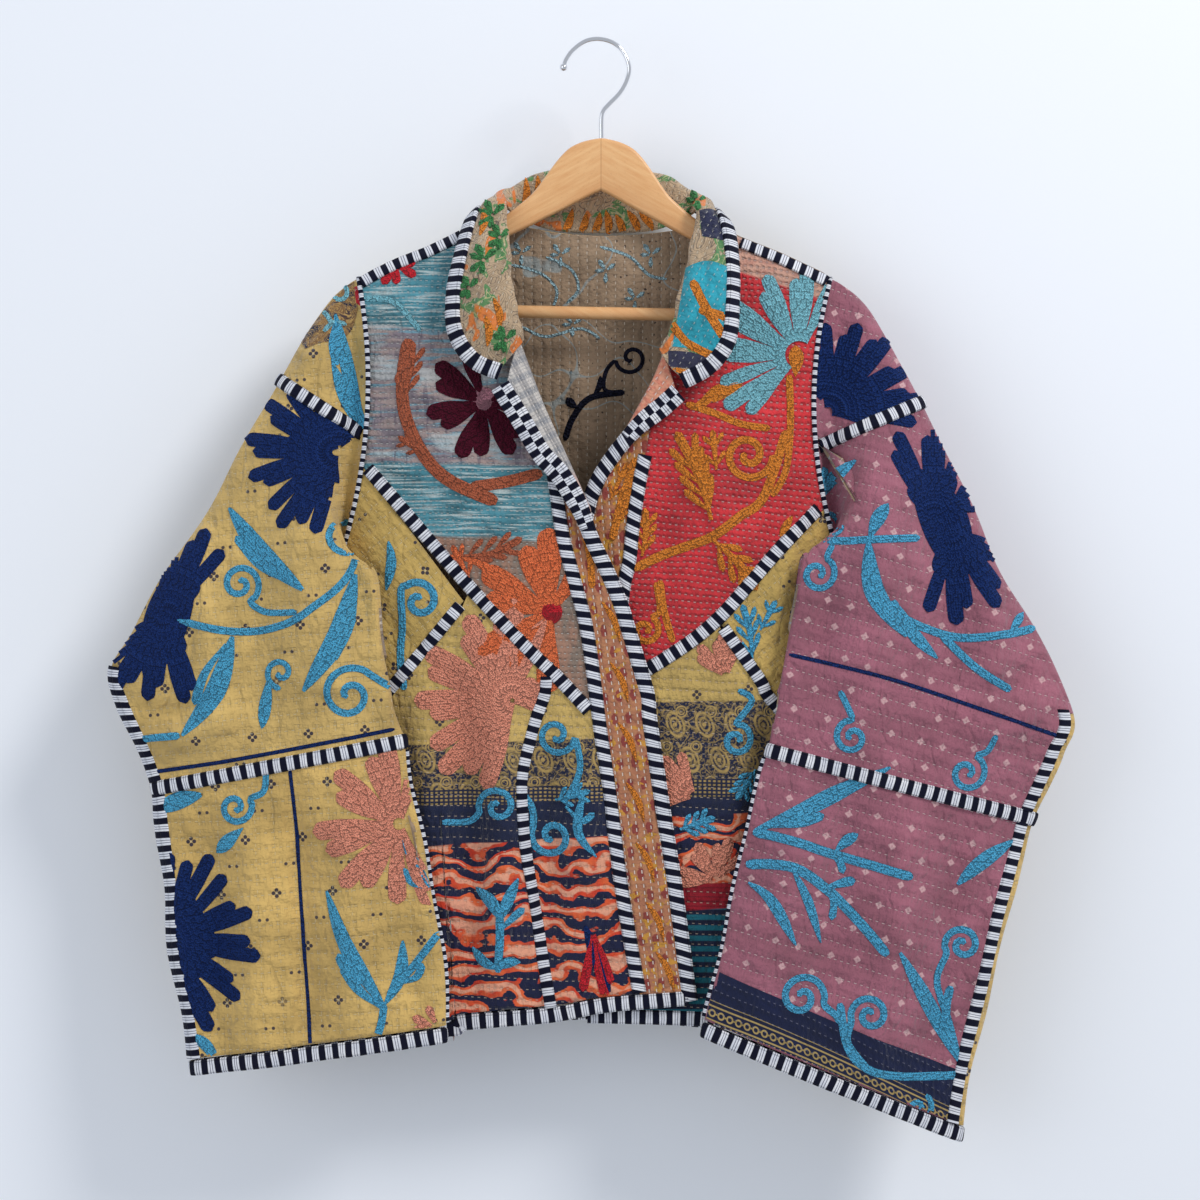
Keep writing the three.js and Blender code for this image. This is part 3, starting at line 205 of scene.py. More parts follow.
def span(f, x0, z0, x1, z1):
    return part(f, nearest(f, x0, z0), nearest(f, x1, z1))


def shift(f, dx, dz):
    return lambda u: (f(u)[0] + dx, f(u)[1] + dz)


def unit(v):
    return v / np.maximum(np.linalg.norm(v, axis=-1, keepdims=True), 1e-9)


# ---------------------------------------------------------------- folds: x, y (px) of three points, width mm, height mm (below 0 a trough)
FOLD = ["x0", "y0", "x1", "y1", "x2", "y2", "w", "h"]
FOLDS_FRONT_L = [
    (372, 300, 380, 400, 372, 470, 16, -4), (420, 350, 440, 440, 480, 520, 22, 3.5), (470, 380, 500, 470, 548, 560, 14, -3),
    (400, 500, 440, 560, 500, 640, 15, -3), (415, 680, 425, 800, 440, 940, 16, 5), (450, 640, 470, 800, 470, 1000, 14, -5),
    (500, 660, 505, 830, 498, 1010, 15, 5), (545, 700, 548, 850, 540, 1000, 12, -4.5), (590, 720, 585, 860, 575, 1000, 15, 4),
    (430, 850, 470, 862, 520, 850, 8, -2), (435, 905, 480, 912, 525, 900, 8, 1.8), (545, 880, 580, 890, 615, 880, 8, -1.8),
    (380, 620, 400, 640, 430, 650, 12, -3)]
FOLDS_FRONT_R = [
    (760, 300, 770, 380, 800, 460, 18, -3.5), (700, 400, 715, 500, 750, 580, 20, 3.5), (665, 440, 668, 540, 660, 640, 12, -3),
    (800, 480, 790, 560, 770, 640, 14, 4), (690, 660, 700, 780, 690, 900, 12, -5), (735, 680, 730, 800, 720, 950, 13, 5),
    (770, 700, 765, 800, 750, 900, 10, -4), (675, 900, 680, 960, 685, 1010, 9, -2)]
FOLDS_BACK = [
    (400, 330, 430, 560, 430, 980, 22, 5), (470, 420, 490, 700, 480, 1000, 20, -5), (560, 450, 565, 700, 570, 1000, 24, 4),
    (640, 460, 640, 700, 650, 1000, 20, -4.5), (720, 400, 725, 650, 720, 1000, 22, 5), (800, 350, 780, 560, 790, 960, 18, -4),
    (430, 300, 600, 330, 780, 300, 20, 2.5), (540, 240, 600, 255, 660, 240, 12, -2), (560, 330, 585, 400, 600, 500, 12, -2.5)]
FOLDS_SLEEVE_L = [
    (350, 300, 352, 370, 350, 430, 12, -4), (320, 330, 300, 380, 270, 440, 14, 3), (345, 440, 345, 540, 372, 660, 15, -6),
    (310, 440, 300, 560, 330, 720, 20, 5), (245, 500, 260, 600, 250, 740, 18, -4), (190, 560, 215, 640, 215, 740, 15, 3.5),
    (375, 500, 388, 600, 395, 720, 9, 3), (130, 735, 185, 740, 240, 720, 9, 3.5), (125, 700, 170, 715, 230, 690, 9, -3.5),
    (296, 775, 302, 900, 313, 1058, 8, -4.5), (250, 790, 258, 900, 262, 1060, 16, 4), (200, 800, 212, 930, 218, 1060, 14, -3.5),
    (345, 780, 352, 900, 360, 1050, 16, 4.5), (400, 780, 410, 900, 420, 1040, 12, -4), (172, 830, 185, 940, 198, 1070, 9, 2.5),
    (300, 690, 340, 705, 390, 690, 9, -2.5)]
FOLDS_SLEEVE_R = [
    (845, 310, 850, 370, 850, 420, 12, -3.5), (880, 330, 900, 370, 905, 400, 12, 3), (838, 450, 830, 560, 812, 690, 14, -5),
    (880, 440, 885, 560, 860, 700, 19, 5), (930, 470, 950, 570, 940, 720, 18, -4.5), (985, 560, 1000, 640, 985, 740, 14, 4),
    (1040, 660, 1010, 690, 970, 690, 9, -3.5), (1045, 700, 1010, 730, 965, 735, 9, 3), (800, 770, 785, 880, 750, 980, 14, 4.5),
    (850, 790, 838, 900, 815, 1020, 14, -5), (905, 800, 895, 920, 875, 1060, 16, 4.5), (960, 820, 945, 930, 925, 1080, 13, -4),
    (1005, 850, 990, 950, 965, 1090, 9, 3), (770, 690, 800, 700, 850, 690, 9, -2)]


def fold_field(folds, x, z, wave=1.0):
    """How far the cloth comes forward, in mm."""
    h = np.zeros_like(np.asarray(x, float) + 0.0)
    for x0, y0, x1, y1, x2, y2, w, top in folds:
        P = [(X(x0), Z(y0)), (X((x0 + 2 * x1 + x2) / 4 * 1.0 + (x1 - (x0 + x2) / 2) * 0.25), Z(y1)), (X(x2), Z(y2))]
        best = np.full_like(h, 1e9)
        along = np.zeros_like(h)
        for k in (0, 1):
            (ax, az), (bx, bz) = P[k], P[k + 1]
            dx, dz = bx - ax, bz - az
            u = np.clip(((x - ax) * dx + (z - az) * dz) / (dx * dx + dz * dz), 0, 1)
            d = np.hypot(x - ax - dx * u, z - az - dz * u)
            along = np.where(d < best, (u + k) / 2, along)
            best = np.minimum(best, d)
        fade = sm(0, 0.25, along) * sm(1, 0.8, along) * 0.75 + 0.25
        h += 1.9 * top * np.exp(-((best / w) ** 2)) * fade
    h += wave * 1.5 * (0.9 * np.sin(x / 21 + z / 47 + 1.3) * np.sin(z / 33 - x / 90 + 0.4) + 0.6 * np.sin(x / 13 - z / 29 + 2.1) * np.sin(z / 19 + 0.7)
                 + 0.35 * np.sin(x / 6.5 + z / 17) * np.sin(z / 8.5 - x / 31))
    return h


# ---------------------------------------------------------------- the body's form
def round_(u):
    return np.power(1 - np.power(np.clip(np.abs(u), 0, 1), 3), 1 / 2.2)


def half(x, z):
    return np.where(x < 0, look(WIDTH, "z", "left", z), look(WIDTH, "z", "right", z))


def stand(x, z, key):
    s = np.maximum(0, look(SHOULDER, "x", "z", x) - z)
    return 0.35 + (12 * (1 - np.exp(-s / 2)) + look(DEPTH, "z", key, z) * (1 - np.exp(-s / 90))) * round_(x / half(x, z))


def fade_out(x, z):
    s = np.maximum(0, look(SHOULDER, "x", "z", x) - z)
    return sm(0, 40, s) * np.clip(round_(x / half(x, z)) * 1.3 - 0.3, 0, 1)


edge_l = line(EDGE_L)


def push_back(x, z):
    ex = look(EDGE_L, "z", "x", z)
    return 8 * (1 - sm(ex + 15, ex + 125, x)) * sm(-300, -410, z)


def front_y(x, z):
    return -stand(x, z, "front")


def back_y(x, z):
    return stand(x, z, "back")


def right_y(x, z):
    return front_y(x, z) + push_back(x, z)


FLAT = {"on": False}  # the smooth form, for measuring each cut


def front_c(x, z):
    return front_y(x, z) - (0 if FLAT["on"] else fold_field(FOLDS_FRONT_L, x, z) * fade_out(x, z))


def right_c(x, z):
    near = sm(0, 90, x - look(EDGE_L, "z", "x", z))  # stays behind the left front where they overlap
    calm = 1 - sm(-300, -400, z) * (1 - near)
    return right_y(x, z) - (0 if FLAT["on"] else fold_field(FOLDS_FRONT_R, x, z, 0.9) * fade_out(x, z) * calm)


def back_c(x, z):
    return back_y(x, z) + (0 if FLAT["on"] else fold_field(FOLDS_BACK, x, z) * fade_out(x, z) * 0.8)


# ---------------------------------------------------------------- sleeves
def sleeve_at(tb, t, s, folds=None, flat=False):
    t, s = np.broadcast_arrays(np.asarray(t, float), np.asarray(s, float))
    r, a = blend(tb, s), np.abs(t)
    c = (1 - np.cos(np.pi * a)) / 2
    x = r["ox"] + (r["ix"] - r["ox"]) * c + r["bow"] * 4 * c * (1 - c)
    z = r["oz"] + (r["iz"] - r["oz"]) * c
    h = np.power(np.maximum(0, np.sin(np.pi * a)), 0.8)
    y = r["yo"] + (r["yi"] - r["yo"]) * c + np.where(t >= 0, -r["f"], r["b"]) * h
    y0 = np.where(t == 0, 0, np.where(t > 0, front_y(x, z), back_y(x, z)))
    y = np.where(s < 1, y0 + (y - y0) * sm(0, 1, s), y)
    if folds is not None and not flat and not FLAT["on"]:
        k = np.clip(h * 1.25, 0, 1) * sm(0.1, 1.3, s)
        f = fold_field(folds, x, z)
        y = y + np.where(t >= 0, -f, f * 0.7) * k
        # the folded edge wavers a little
        w = (1 - np.clip(h * 1.6, 0, 1)) * sm(1.0, 2.0, s)
        x = x + w * 1.4 * np.sin(z / 17 + 0.6) * np.where(a < 0.5, 1, -0.6)
    return np.stack([x, y, z], -1)


class Sleeve:
    def __init__(self, tag, tb, seam, folds):
        self.tag, self.tb, self.seam, self.folds = tag, tb, seam, folds

    def at(self, t, s):
        return sleeve_at(self.tb, t, s, self.folds)

    def mm(self, t, s):
        a, b = np.maximum(0, s - 0.02), np.minimum(CUFF, s + 0.02)
        return np.linalg.norm(sleeve_at(self.tb, t, b) - sleeve_at(self.tb, t, a), axis=-1) / (b - a)

    def gap(self, t, s, d):
        s = np.asarray(s, float) + 0 * np.asarray(t, float)
        return np.clip(s + d / self.mm(t, s), 0, CUFF)

    def outward(self, t, s):
        t, s = np.broadcast_arrays(np.asarray(t, float), np.asarray(s, float))
        r = blend(self.tb, s)
        e = unit(np.stack([r["ox"] - r["ix"], 0 * t, r["oz"] - r["iz"]], -1))
        a = np.abs(t)
        ydir = np.stack([0 * t, np.where(t > 0, -1.0, 1.0), 0 * t], -1)
        edge = e * np.where(a < 0.5, 1, -1)[..., None]
        return np.where(((a > 0.12) & (a < 0.88))[..., None], ydir, edge)

    def seam_at(self, t):
        t = np.asarray(t, float)
        m = self.seam
        a = np.abs(t)

        def side(p):
            return (p[..., 0] - m["ox"]) * (m["az"] - m["oz"]) - (p[..., 2] - m["oz"]) * (m["ax"] - m["ox"])
        lo, hi = np.zeros_like(a), np.full_like(a, 4.0)
        f0 = np.sign(side(sleeve_at(self.tb, a, lo)))
        for _ in range(26):
            mid = (lo + hi) / 2
            same = np.sign(side(sleeve_at(self.tb, a, mid))) == f0
            lo, hi = np.where(same, mid, lo), np.where(same, hi, mid)
        return np.where(a >= m["t"], 0, lo)


SL = Sleeve("l", SLEEVE_L, UPPER_SEAM_L, FOLDS_SLEEVE_L)
SR = Sleeve("r", SLEEVE_R, UPPER_SEAM_R, FOLDS_SLEEVE_R)


# ---------------------------------------------------------------- node graphs
def lin(c):
    return tuple([((v / 255) / 12.92 if v / 255 <= 0.04045 else ((v / 255 + 0.055) / 1.055) ** 2.4) for v in c] + [1.0])


class E:
    """A number in a material's graph."""
    def __init__(s, m, v):
        s.m, s.v = m, v

    def op(s, kind, *o):
        n = s.m.nt.nodes.new("ShaderNodeMath")
        n.operation = kind
        for i, a in enumerate((s,) + o):
            a = a.v if isinstance(a, E) else a
            if isinstance(a, (int, float)):
                n.inputs[i].default_value = a
            else:
                s.m.nt.links.new(a, n.inputs[i])
        return E(s.m, n.outputs[0])

    def __add__(s, o): return s.op("ADD", o)
    __radd__ = __add__
    def __sub__(s, o): return s.op("SUBTRACT", o)
    def __rsub__(s, o): return s.op("MULTIPLY", -1.0).op("ADD", o)
    def __mul__(s, o): return s.op("MULTIPLY", o)
    __rmul__ = __mul__
    def __truediv__(s, o): return s.op("DIVIDE", o)
    def frac(s): return s.op("FRACT")
    def floor(s): return s.op("FLOOR")
    def abs(s): return s.op("ABSOLUTE")
    def sin(s): return s.op("SINE")
    def sqrt(s): return s.op("SQRT")
    def sq(s): return s.op("MULTIPLY", s)
    def max(s, o): return s.op("MAXIMUM", o)
    def min(s, o): return s.op("MINIMUM", o)

    def ramp(s, a, b):
        """0 at a, 1 at b, clamped (a may lie above b)."""
        n = s.m.nt.nodes.new("ShaderNodeMapRange")
        s.m.nt.links.new(s.v, n.inputs[0])
        n.inputs[1].default_value, n.inputs[2].default_value = a, b
        n.inputs[3].default_value, n.inputs[4].default_value = 0.0, 1.0
        return E(s.m, n.outputs[0])


class Mat:
    def __init__(self, name, rough=0.9, sheen=0.25, spec=0.25, metal=0.0):
        self.m = bpy.data.materials.new(name)
        self.m.use_nodes = True
        self.nt = self.m.node_tree
        self.b = self.nt.nodes["Principled BSDF"]
        self.b.inputs["Roughness"].default_value = rough
        self.b.inputs["Metallic"].default_value = metal
        self.b.inputs["Specular IOR Level"].default_value = spec
        self.b.inputs["Sheen Weight"].default_value = sheen
        self.b.inputs["Sheen Roughness"].default_value = 0.5
        uv = self.nt.nodes.new("ShaderNodeUVMap")
        uv.uv_map = "UVMap"
        sp = self.nt.nodes.new("ShaderNodeSeparateXYZ")
        self.nt.links.new(uv.outputs[0], sp.inputs[0])
        self.u, self.v = E(self, sp.outputs[0]) * 1000, E(self, sp.outputs[1]) * 1000  # in mm

    def vec(self, x, y, z=0.0):
        n = self.nt.nodes.new("ShaderNodeCombineXYZ")
        for i, a in enumerate((x, y, z)):
            if isinstance(a, E):
                self.nt.links.new(a.v, n.inputs[i])
            else:
                n.inputs[i].default_value = a
        return n.outputs[0]

    def noise(self, x, y, scale, detail=2.0, rough=0.5, distort=0.0, seed=0.0):
        n = self.nt.nodes.new("ShaderNodeTexNoise")
        n.noise_dimensions = "3D"
        self.nt.links.new(self.vec(x, y, seed * 7.3), n.inputs["Vector"])
        n.inputs["Scale"].default_value = scale
        n.inputs["Detail"].default_value = detail
        n.inputs["Roughness"].default_value = rough
        n.inputs["Distortion"].default_value = distort
        return E(self, n.outputs["Fac"])

    def cells(self, x, y, random=0.7):
        """Distance to the nearest of scattered points one unit apart."""
        n = self.nt.nodes.new("ShaderNodeTexVoronoi")
        n.voronoi_dimensions, n.feature = "2D", "F1"
        self.nt.links.new(self.vec(x, y), n.inputs["Vector"])
        n.inputs["Scale"].default_value = 1.0
        n.inputs["Randomness"].default_value = random
        return E(self, n.outputs["Distance"])

    def rand(self, x, y=0.0):
        n = self.nt.nodes.new("ShaderNodeTexWhiteNoise")
        n.noise_dimensions = "2D"
        self.nt.links.new(self.vec(x, y), n.inputs["Vector"])
        return E(self, n.outputs["Value"])

    def mix(self, f, a, b):
        n = self.nt.nodes.new("ShaderNodeMix")
        n.data_type = "RGBA"
        for i, c in ((0, f), (6, a), (7, b)):
            c = c.v if isinstance(c, E) else c
            if isinstance(c, tuple):
                n.inputs[i].default_value = lin(c)
            elif isinstance(c, (int, float)):
                n.inputs[i].default_value = c
            else:
                self.nt.links.new(c, n.inputs[i])
        return n.outputs[2]

    def done(self, colour, height=None, strength=1.0):
        self.nt.links.new(colour, self.b.inputs["Base Color"])
        if height is not None:
            n = self.nt.nodes.new("ShaderNodeBump")
            n.inputs["Strength"].default_value = strength
            n.inputs["Distance"].default_value = 0.0017
            self.nt.links.new(height.v, n.inputs["Height"])
            self.nt.links.new(n.outputs[0], self.b.inputs["Normal"])
        return self.m

    # ---- motifs of the cloths, all in mm ----
    def turned(self, deg, u=None, v=None):
        u, v = u or self.u, v or self.v
        c, s = math.cos(math.radians(deg)), math.sin(math.radians(deg))
        return u * c + v * s, v * c - u * s

    def cell(self, u, v, w, h, stagger=0.5):
        """Place inside a staggered cell, from its middle, and the cell's numbers."""
        j = (v / h).floor()
        odd = (j * 0.5).frac() * 2
        uu = u / w + odd * stagger
        i = uu.floor()
        return (uu - i - 0.5) * w, (v / h - j - 0.5) * h, i, j

    def rows(self, u, v, pitch, period, duty=0.5, wide=0.75, seed=0.0, waver=0.6):
        """Running-stitch rows along u: where thread shows, and the height of the puckered cloth."""
        vw = v + (self.noise(u, v, 0.02, 1.0, seed=seed) - 0.5) * waver * 6
        j = (vw / pitch).floor()
        d = ((vw / pitch) - j - 0.5).abs() * pitch
        a = (u / period + self.rand(j, seed) * 1.0).frac()
        on = (a - duty / 2).abs().ramp(duty / 2 + 0.03, duty / 2 - 0.03)
        thread = on * d.ramp(wide / 2 + 0.15, wide / 2 - 0.15)
        valley = d.ramp(pitch * 0.5, 0.0)
        puff = self.noise(u * (1.0 / period), v * (1.0 / pitch), 1.6, 2.0, seed=seed + 3)
        height = puff * 1.1 - valley.sq() * 0.9 * (on * 0.6 + 0.4) + thread * 0.35
        return thread, height

    def weave(self, crumple=1.0):
        """Fine weave and the crumpled look of washed layers."""
        lump = self.noise(self.u, self.v, 0.06, 3.0, 0.5, seed=11) * 2.6
        crease = (self.noise(self.u, self.v * 0.45, 0.035, 2.0, seed=12) - 0.5).abs().ramp(0.05, 0.0) * -0.55
        fine = self.noise(self.u, self.v, 0.55, 2.0, seed=13) * 0.35
        return (self.u * 7.0).sin() * (self.v * 7.0).sin() * 0.02 + (lump + crease + fine) * crumple


def tone(m, colour, amount=0.10, scale=0.02):
    """Uneven washed dye."""
    n = m.noise(m.u, m.v, scale, 4.0, 0.6)
    dark = tuple(int(c * (1 - amount)) for c in colour)
    pale = tuple(min(255, int(c * (1 + amount * 0.8))) for c in colour)
    return m.mix(n.ramp(0.35, 0.65), dark, pale)


def buti(m, u, v, size):
    """A four-petal sprig of dark dots round a pale eye: 1 where printed, and the eye."""
    r = (u.sq() + v.sq()).sqrt()
    petals = None
    for dx, dy in ((0, 1), (1, 0), (0, -1), (-1, 0)):
        d = ((u - dx * size * 0.56).sq() + (v - dy * size * 0.56).sq()).sqrt().ramp(size * 0.40, size * 0.32)
        petals = d if petals is None else petals.max(d)
    eye = r.ramp(size * 0.24, size * 0.16)
    return petals, eye


def mat_ochre(name="ochre", turn=4.0, base=(204, 172, 104)):
    m = Mat(name)
    col = tone(m, base)
    u, v = m.turned(turn)
    cu, cv, i, j = m.cell(u, v, 48.0, 46.0)
    p, eye = buti(m, cu, cv, 4.6)
    col = m.mix(p * m.rand(i, j).ramp(0.12, 0.2) * 0.93, col, (24, 28, 58))
    col = m.mix(eye * 0.9, col, (214, 190, 140))
    du, dv, i2, j2 = m.cell(u + 12, v + 22, 48.0, 46.0)
    dots = ((du.abs() - 3.2).sq() + dv.sq()).sqrt().ramp(1.7, 1.2)
    col = m.mix(dots * 0.9, col, (28, 32, 60))
    t, h = m.rows(*m.turned(turn - 84 if turn > 50 else turn + 1), 13.0, 6.0, 0.42, 0.6, 1.0)
    col = m.mix(t * 0.55, col, (232, 218, 180))
    t2, h2 = m.rows(*m.turned(turn + 90), 16.0, 6.5, 0.4, 0.6, 2.0)
    col = m.mix(t2 * 0.35, col, (236, 224, 190))
    return m.done(col, h * 1.0 + h2 * 0.8 + m.weave(1.25), 0.95)


def mat_mauve():
    m = Mat("mauve")
    col = tone(m, (156, 96, 112), 0.10)
    u, v = m.turned(-14)
    cu, cv, i, j = m.cell(u, v, 26.0, 24.0)
    ju, jv = (m.rand(i, j) - 0.5) * 8, (m.rand(j, i) - 0.5) * 8
    r = ((cu - ju).abs() + (cv - jv).abs()) * 0.75 + (m.noise(m.u, m.v, 0.4, 1.0) - 0.5) * 1.8
    col = m.mix(r.ramp(2.9, 2.0) * 0.66, col, (222, 184, 184))
    col = m.mix(r.ramp(0.9, 0.4) * 0.5, col, (168, 112, 122))
    t, h = m.rows(*m.turned(-17), 14.0, 5.5, 0.45, 0.65, 1.0)
    col = m.mix(t * 0.6, col, (232, 208, 206))
    t2, h2 = m.rows(*m.turned(-17), 7.0, 5.0, 0.2, 0.5, 5.0)
    return m.done(col, h * 1.2 + h2 * 0.4 + m.weave(1.15), 0.95)


def plaid(m, base, pale, dark, pitch):
    a = (m.u / pitch).frac()
    b = (m.v / pitch * 0.8).frac()
    col = m.mix((a - 0.5).abs().ramp(0.22, 0.18) * 0.55, base, pale)
    col = m.mix((b - 0.5).abs().ramp(0.2, 0.16) * 0.5, col, dark)
    col = m.mix(((m.u / pitch * 4).frac() - 0.5).abs().ramp(0.12, 0.08) * 0.35, col, pale)
    col = m.mix(((m.v / pitch * 4).frac() - 0.5).abs().ramp(0.12, 0.08) * 0.3, col, (84, 92, 112))
    return col


def above(m, x0, y0, x1, y1, soft=0.6):
    """1 above the line through two points (px), 0 below it."""
    ax, az, bx, bz = float(X(x0)), float(Z(y0)), float(X(x1)), float(Z(y1))
    n = math.hypot(bx - ax, bz - az)
    d = ((m.v - az) * (bx - ax) - (m.u - ax) * (bz - az)) / n
    return d.ramp(-soft, soft)


def mat_teal():
    m = Mat("teal_patch")
    teal = tone(m, (72, 132, 146), 0.16, 0.03)
    streak = m.noise(m.u * 0.06, m.v, 0.5, 3.0)
    teal = m.mix(streak.ramp(0.5, 0.62) * 0.75, teal, (196, 208, 206))
    grey = m.mix(m.noise(m.u * 0.25, m.v, 0.16, 3.0, seed=4).ramp(0.44, 0.6) * 0.8, tone(m, (126, 116, 124), 0.1), (168, 148, 142))
    grey = m.mix(m.noise(m.u * 0.12, m.v, 0.22, 3.0, seed=5).ramp(0.52, 0.6) * 0.75, grey, (104, 158, 176))
    grey = m.mix(m.noise(m.u, m.v * 0.12, 0.2, 2.0, seed=6).ramp(0.6, 0.66) * 0.6, grey, (92, 84, 98))
    grey = m.mix(m.noise(m.u * 0.3, m.v, 0.05, 2.0, seed=7).ramp(0.56, 0.62) * 0.6, grey, (188, 196, 196))
    taupe = m.mix(m.noise(m.u, m.v * 0.2, 0.12, 3.0).ramp(0.4, 0.6) * 0.6, (132, 116, 104), (178, 128, 104))
    wave = (m.noise(m.u, m.v, 0.03, 1.0) - 0.5) * 8
    keep = m.v
    m.v = m.v + wave
    col = m.mix(above(m, 360, 322, 600, 350, 1.5), grey, teal)
    col = m.mix(above(m, 360, 462, 600, 468, 1.5), m.mix(above(m, 360, 530, 600, 545, 1.5), taupe, teal), col)
    m.v = keep
    t, h = m.rows(*m.turned(-2), 5.4, 5.0, 0.4, 0.6, 1.0, 1.0)
    col = m.mix(t * 0.6, col, (226, 228, 222))
    return m.done(col, h * 1.2 + m.weave())


def mat_crimson():
    m = Mat("crimson")
    col = tone(m, (205, 52, 58), 0.12)
    top = tone(m, (206, 160, 140), 0.1)
    col = m.mix(above(m, 735, 268, 835, 300, 1.2), col, top)
    t, h = m.rows(*m.turned(-6), 5.4, 5.2, 0.4, 0.75, 1.0, 1.5)
    # painted shade: darker crimson streaks stretched along the rows stand in for the shadows of the puckered ribs
    painted_pucker_shade = m.noise(m.u, m.v * 2.2, 0.11, 2.0, seed=9)
    col = m.mix(painted_pucker_shade.ramp(0.45, 0.7) * 0.35, col, (150, 26, 34))
    col = m.mix(t * 0.72, col, (240, 206, 200))
    return m.done(col, h * 1.9 + m.weave())


def wavy(m, pitch=19.0):
    """Brush-stroke stripes that run sideways."""
    w = (m.noise(m.u * 1.0, m.v * 1.0, 0.024, 2.0, seed=2) - 0.5) * 70
    k = (m.noise(m.u * 0.7, m.v * 1.6, 0.055, 3.0, 0.55, seed=5) - 0.5)
    a = ((m.v + w) / pitch).frac()
    return (a - 0.5).abs() + k * 0.62


def paisley_band(m, u, v, ground, gold):
    """Cone motifs and vines in gold on navy."""
    cu, cv, i, j = m.cell(u, v, 25.0, 30.0)
    body = (((cu + cv * 0.25) / 7.0).sq() + ((cv + 2) / 10.0).sq()).sqrt()
    tip = (((cu - 5.5).sq() + (cv - 9.0).sq()).sqrt())
    f = body.min(tip / 4.6)
    outline = (f - 1.0).abs().ramp(0.2, 0.08)
    core = (f - 0.55).abs().ramp(0.16, 0.06)
    dot = (cu.sq() + (cv + 2).sq()).sqrt().ramp(2.2, 1.5)
    fill = m.noise(u, v, 0.42, 3.0, 0.6).ramp(0.50, 0.56)
    scroll = (m.noise(u, v, 0.11, 1.0, seed=4) - 0.5).abs().ramp(0.035, 0.015)
    col = m.mix((outline.max(core).max(dot).max(scroll * 0.8).max(fill * 0.55)) * 0.85, ground, gold)
    return col


def mat_lower(name, left=True):
    m = Mat(name)
    u, v = m.u, m.v
    a = wavy(m)
    hot = m.mix(m.noise(m.u, m.v, 0.05, 2.0, seed=8).ramp(0.4, 0.6), (206, 62, 38), (226, 104, 58))
    tiger = m.mix(a.ramp(0.19, 0.21), (22, 28, 60), hot)
    tiger = m.mix(a.ramp(0.34, 0.40) * 0.9, tiger, (232, 168, 138))
    navy, gold = (26, 34, 62), (186, 156, 92)
    pais = paisley_band(m, u, v, navy, gold)
    stripe = m.mix(((v / 3.2).frac() - 0.5).abs().ramp(0.30, 0.22) * ((u / 4.0).frac() - 0.5).abs().ramp(0.1, 0.35) * 0.8, navy, gold)
    ochre = tone(m, (196, 166, 98))
    bu, bv, i, j = m.cell(*m.turned(6), 44.0, 42.0)
    p, eye = buti(m, bu, bv, 4.4)
    ochre = m.mix(p * 0.92, ochre, (24, 28, 58))
    if left:
        low = m.mix(above(m, 430, 846, 600, 836), tiger, navy)
        col = m.mix(above(m, 430, 806, 600, 800), low, stripe)
        col = m.mix(above(m, 430, 790, 600, 784), col, pais)
        col = m.mix(above(m, 430, 744, 600, 738), col, ochre)
    else:
        dark = tone(m, (24, 30, 58), 0.2)
        teal = m.mix(((v / 9.0).frac() - 0.5).abs().ramp(0.3, 0.2) * 0.8, dark, (24, 112, 128))
        crimson = m.mix(((v / 4.0).frac() - 0.5).abs().ramp(0.2, 0.12) * 0.5, (150, 24, 40), (92, 14, 30))
        low = m.mix(above(m, 650, 915, 770, 905), teal, crimson)
        low = m.mix(above(m, 650, 888, 770, 880), low, tiger)
        col = m.mix(above(m, 650, 818, 770, 812), low, navy)
        col = m.mix(above(m, 650, 800, 770, 794), col, stripe)
        col = m.mix(above(m, 650, 782, 770, 776), col, pais)
        col = m.mix(above(m, 650, 702, 770, 700), col, ochre)
    t, h = m.rows(*m.turned(-3), 9.0, 5.5, 0.4, 0.55, 1.0)
    col = m.mix(t * 0.6, col, (238, 214, 190))
    t2, h2 = m.rows(*m.turned(88), 14.0, 6.5, 0.4, 0.5, 4.0)
    return m.done(col, h * 1.1 + h2 * 0.6 + m.weave())


def mat_placket(name, left=True):
    m = Mat(name)
    u, v = m.turned(7 if left else 4)
    n = m.noise(m.u, m.v, 0.09, 3.0, 0.6)
    col = m.mix(n.ramp(0.42, 0.6) * 0.6, (170, 112, 84), (196, 138, 96) if left else (186, 130, 60))
    cu, cv, i, j = m.cell(u, v, 12.0, 19.0)
    leafy = ((cu / 3.4).sq() + (cv / 6.2).sq()).sqrt() + (m.noise(m.u, m.v, 0.35, 2.0, seed=2) - 0.5) * 0.9
    col = m.mix(leafy.ramp(0.95, 0.75) * 0.8, col, (128, 36, 46))
    col = m.mix(m.noise(m.u, m.v, 0.14, 2.0, seed=8).ramp(0.58, 0.62) * 0.75, col, (206, 150, 48))
    t, h = m.rows(v, u, 6.2, 6.0, 0.5, 0.85, 1.0, 0.2)
    col = m.mix(t * 0.9, col, (240, 226, 214))
    return m.done(col, h * 0.9 + m.weave())


def mat_lapel(name, left=True):
    m = Mat(name)
    u, v = m.turned(28 if left else -35)
    if left:
        keep = (m.u, m.v)
        m.u, m.v = u, v
        col = plaid(m, tone(m, (168, 164, 162), 0.06), (222, 216, 208), (112, 120, 132), 11.0)
        m.u, m.v = keep
        col = m.mix(above(m, 519, 470, 640, 480, 3), m.mix(0.6, col, (214, 172, 158)), col)
        col = m.mix(above(m, 515, 330, 556, 424, 0.8) * above(m, 550, 424, 506, 330, 0.8) * 0.9, col, (208, 104, 62))
    else:
        col = tone(m, (218, 152, 124), 0.08)
        col = m.mix(m.noise(m.u, m.v, 0.2, 2.0).ramp(0.5, 0.56) * 0.3, col, (206, 66, 60))
    t, h = m.rows(v, u, 7.0, 5.6, 0.5, 0.7, 1.0)
    col = m.mix(t * 0.8, col, (240, 232, 224))
    return m.done(col, h + m.weave())


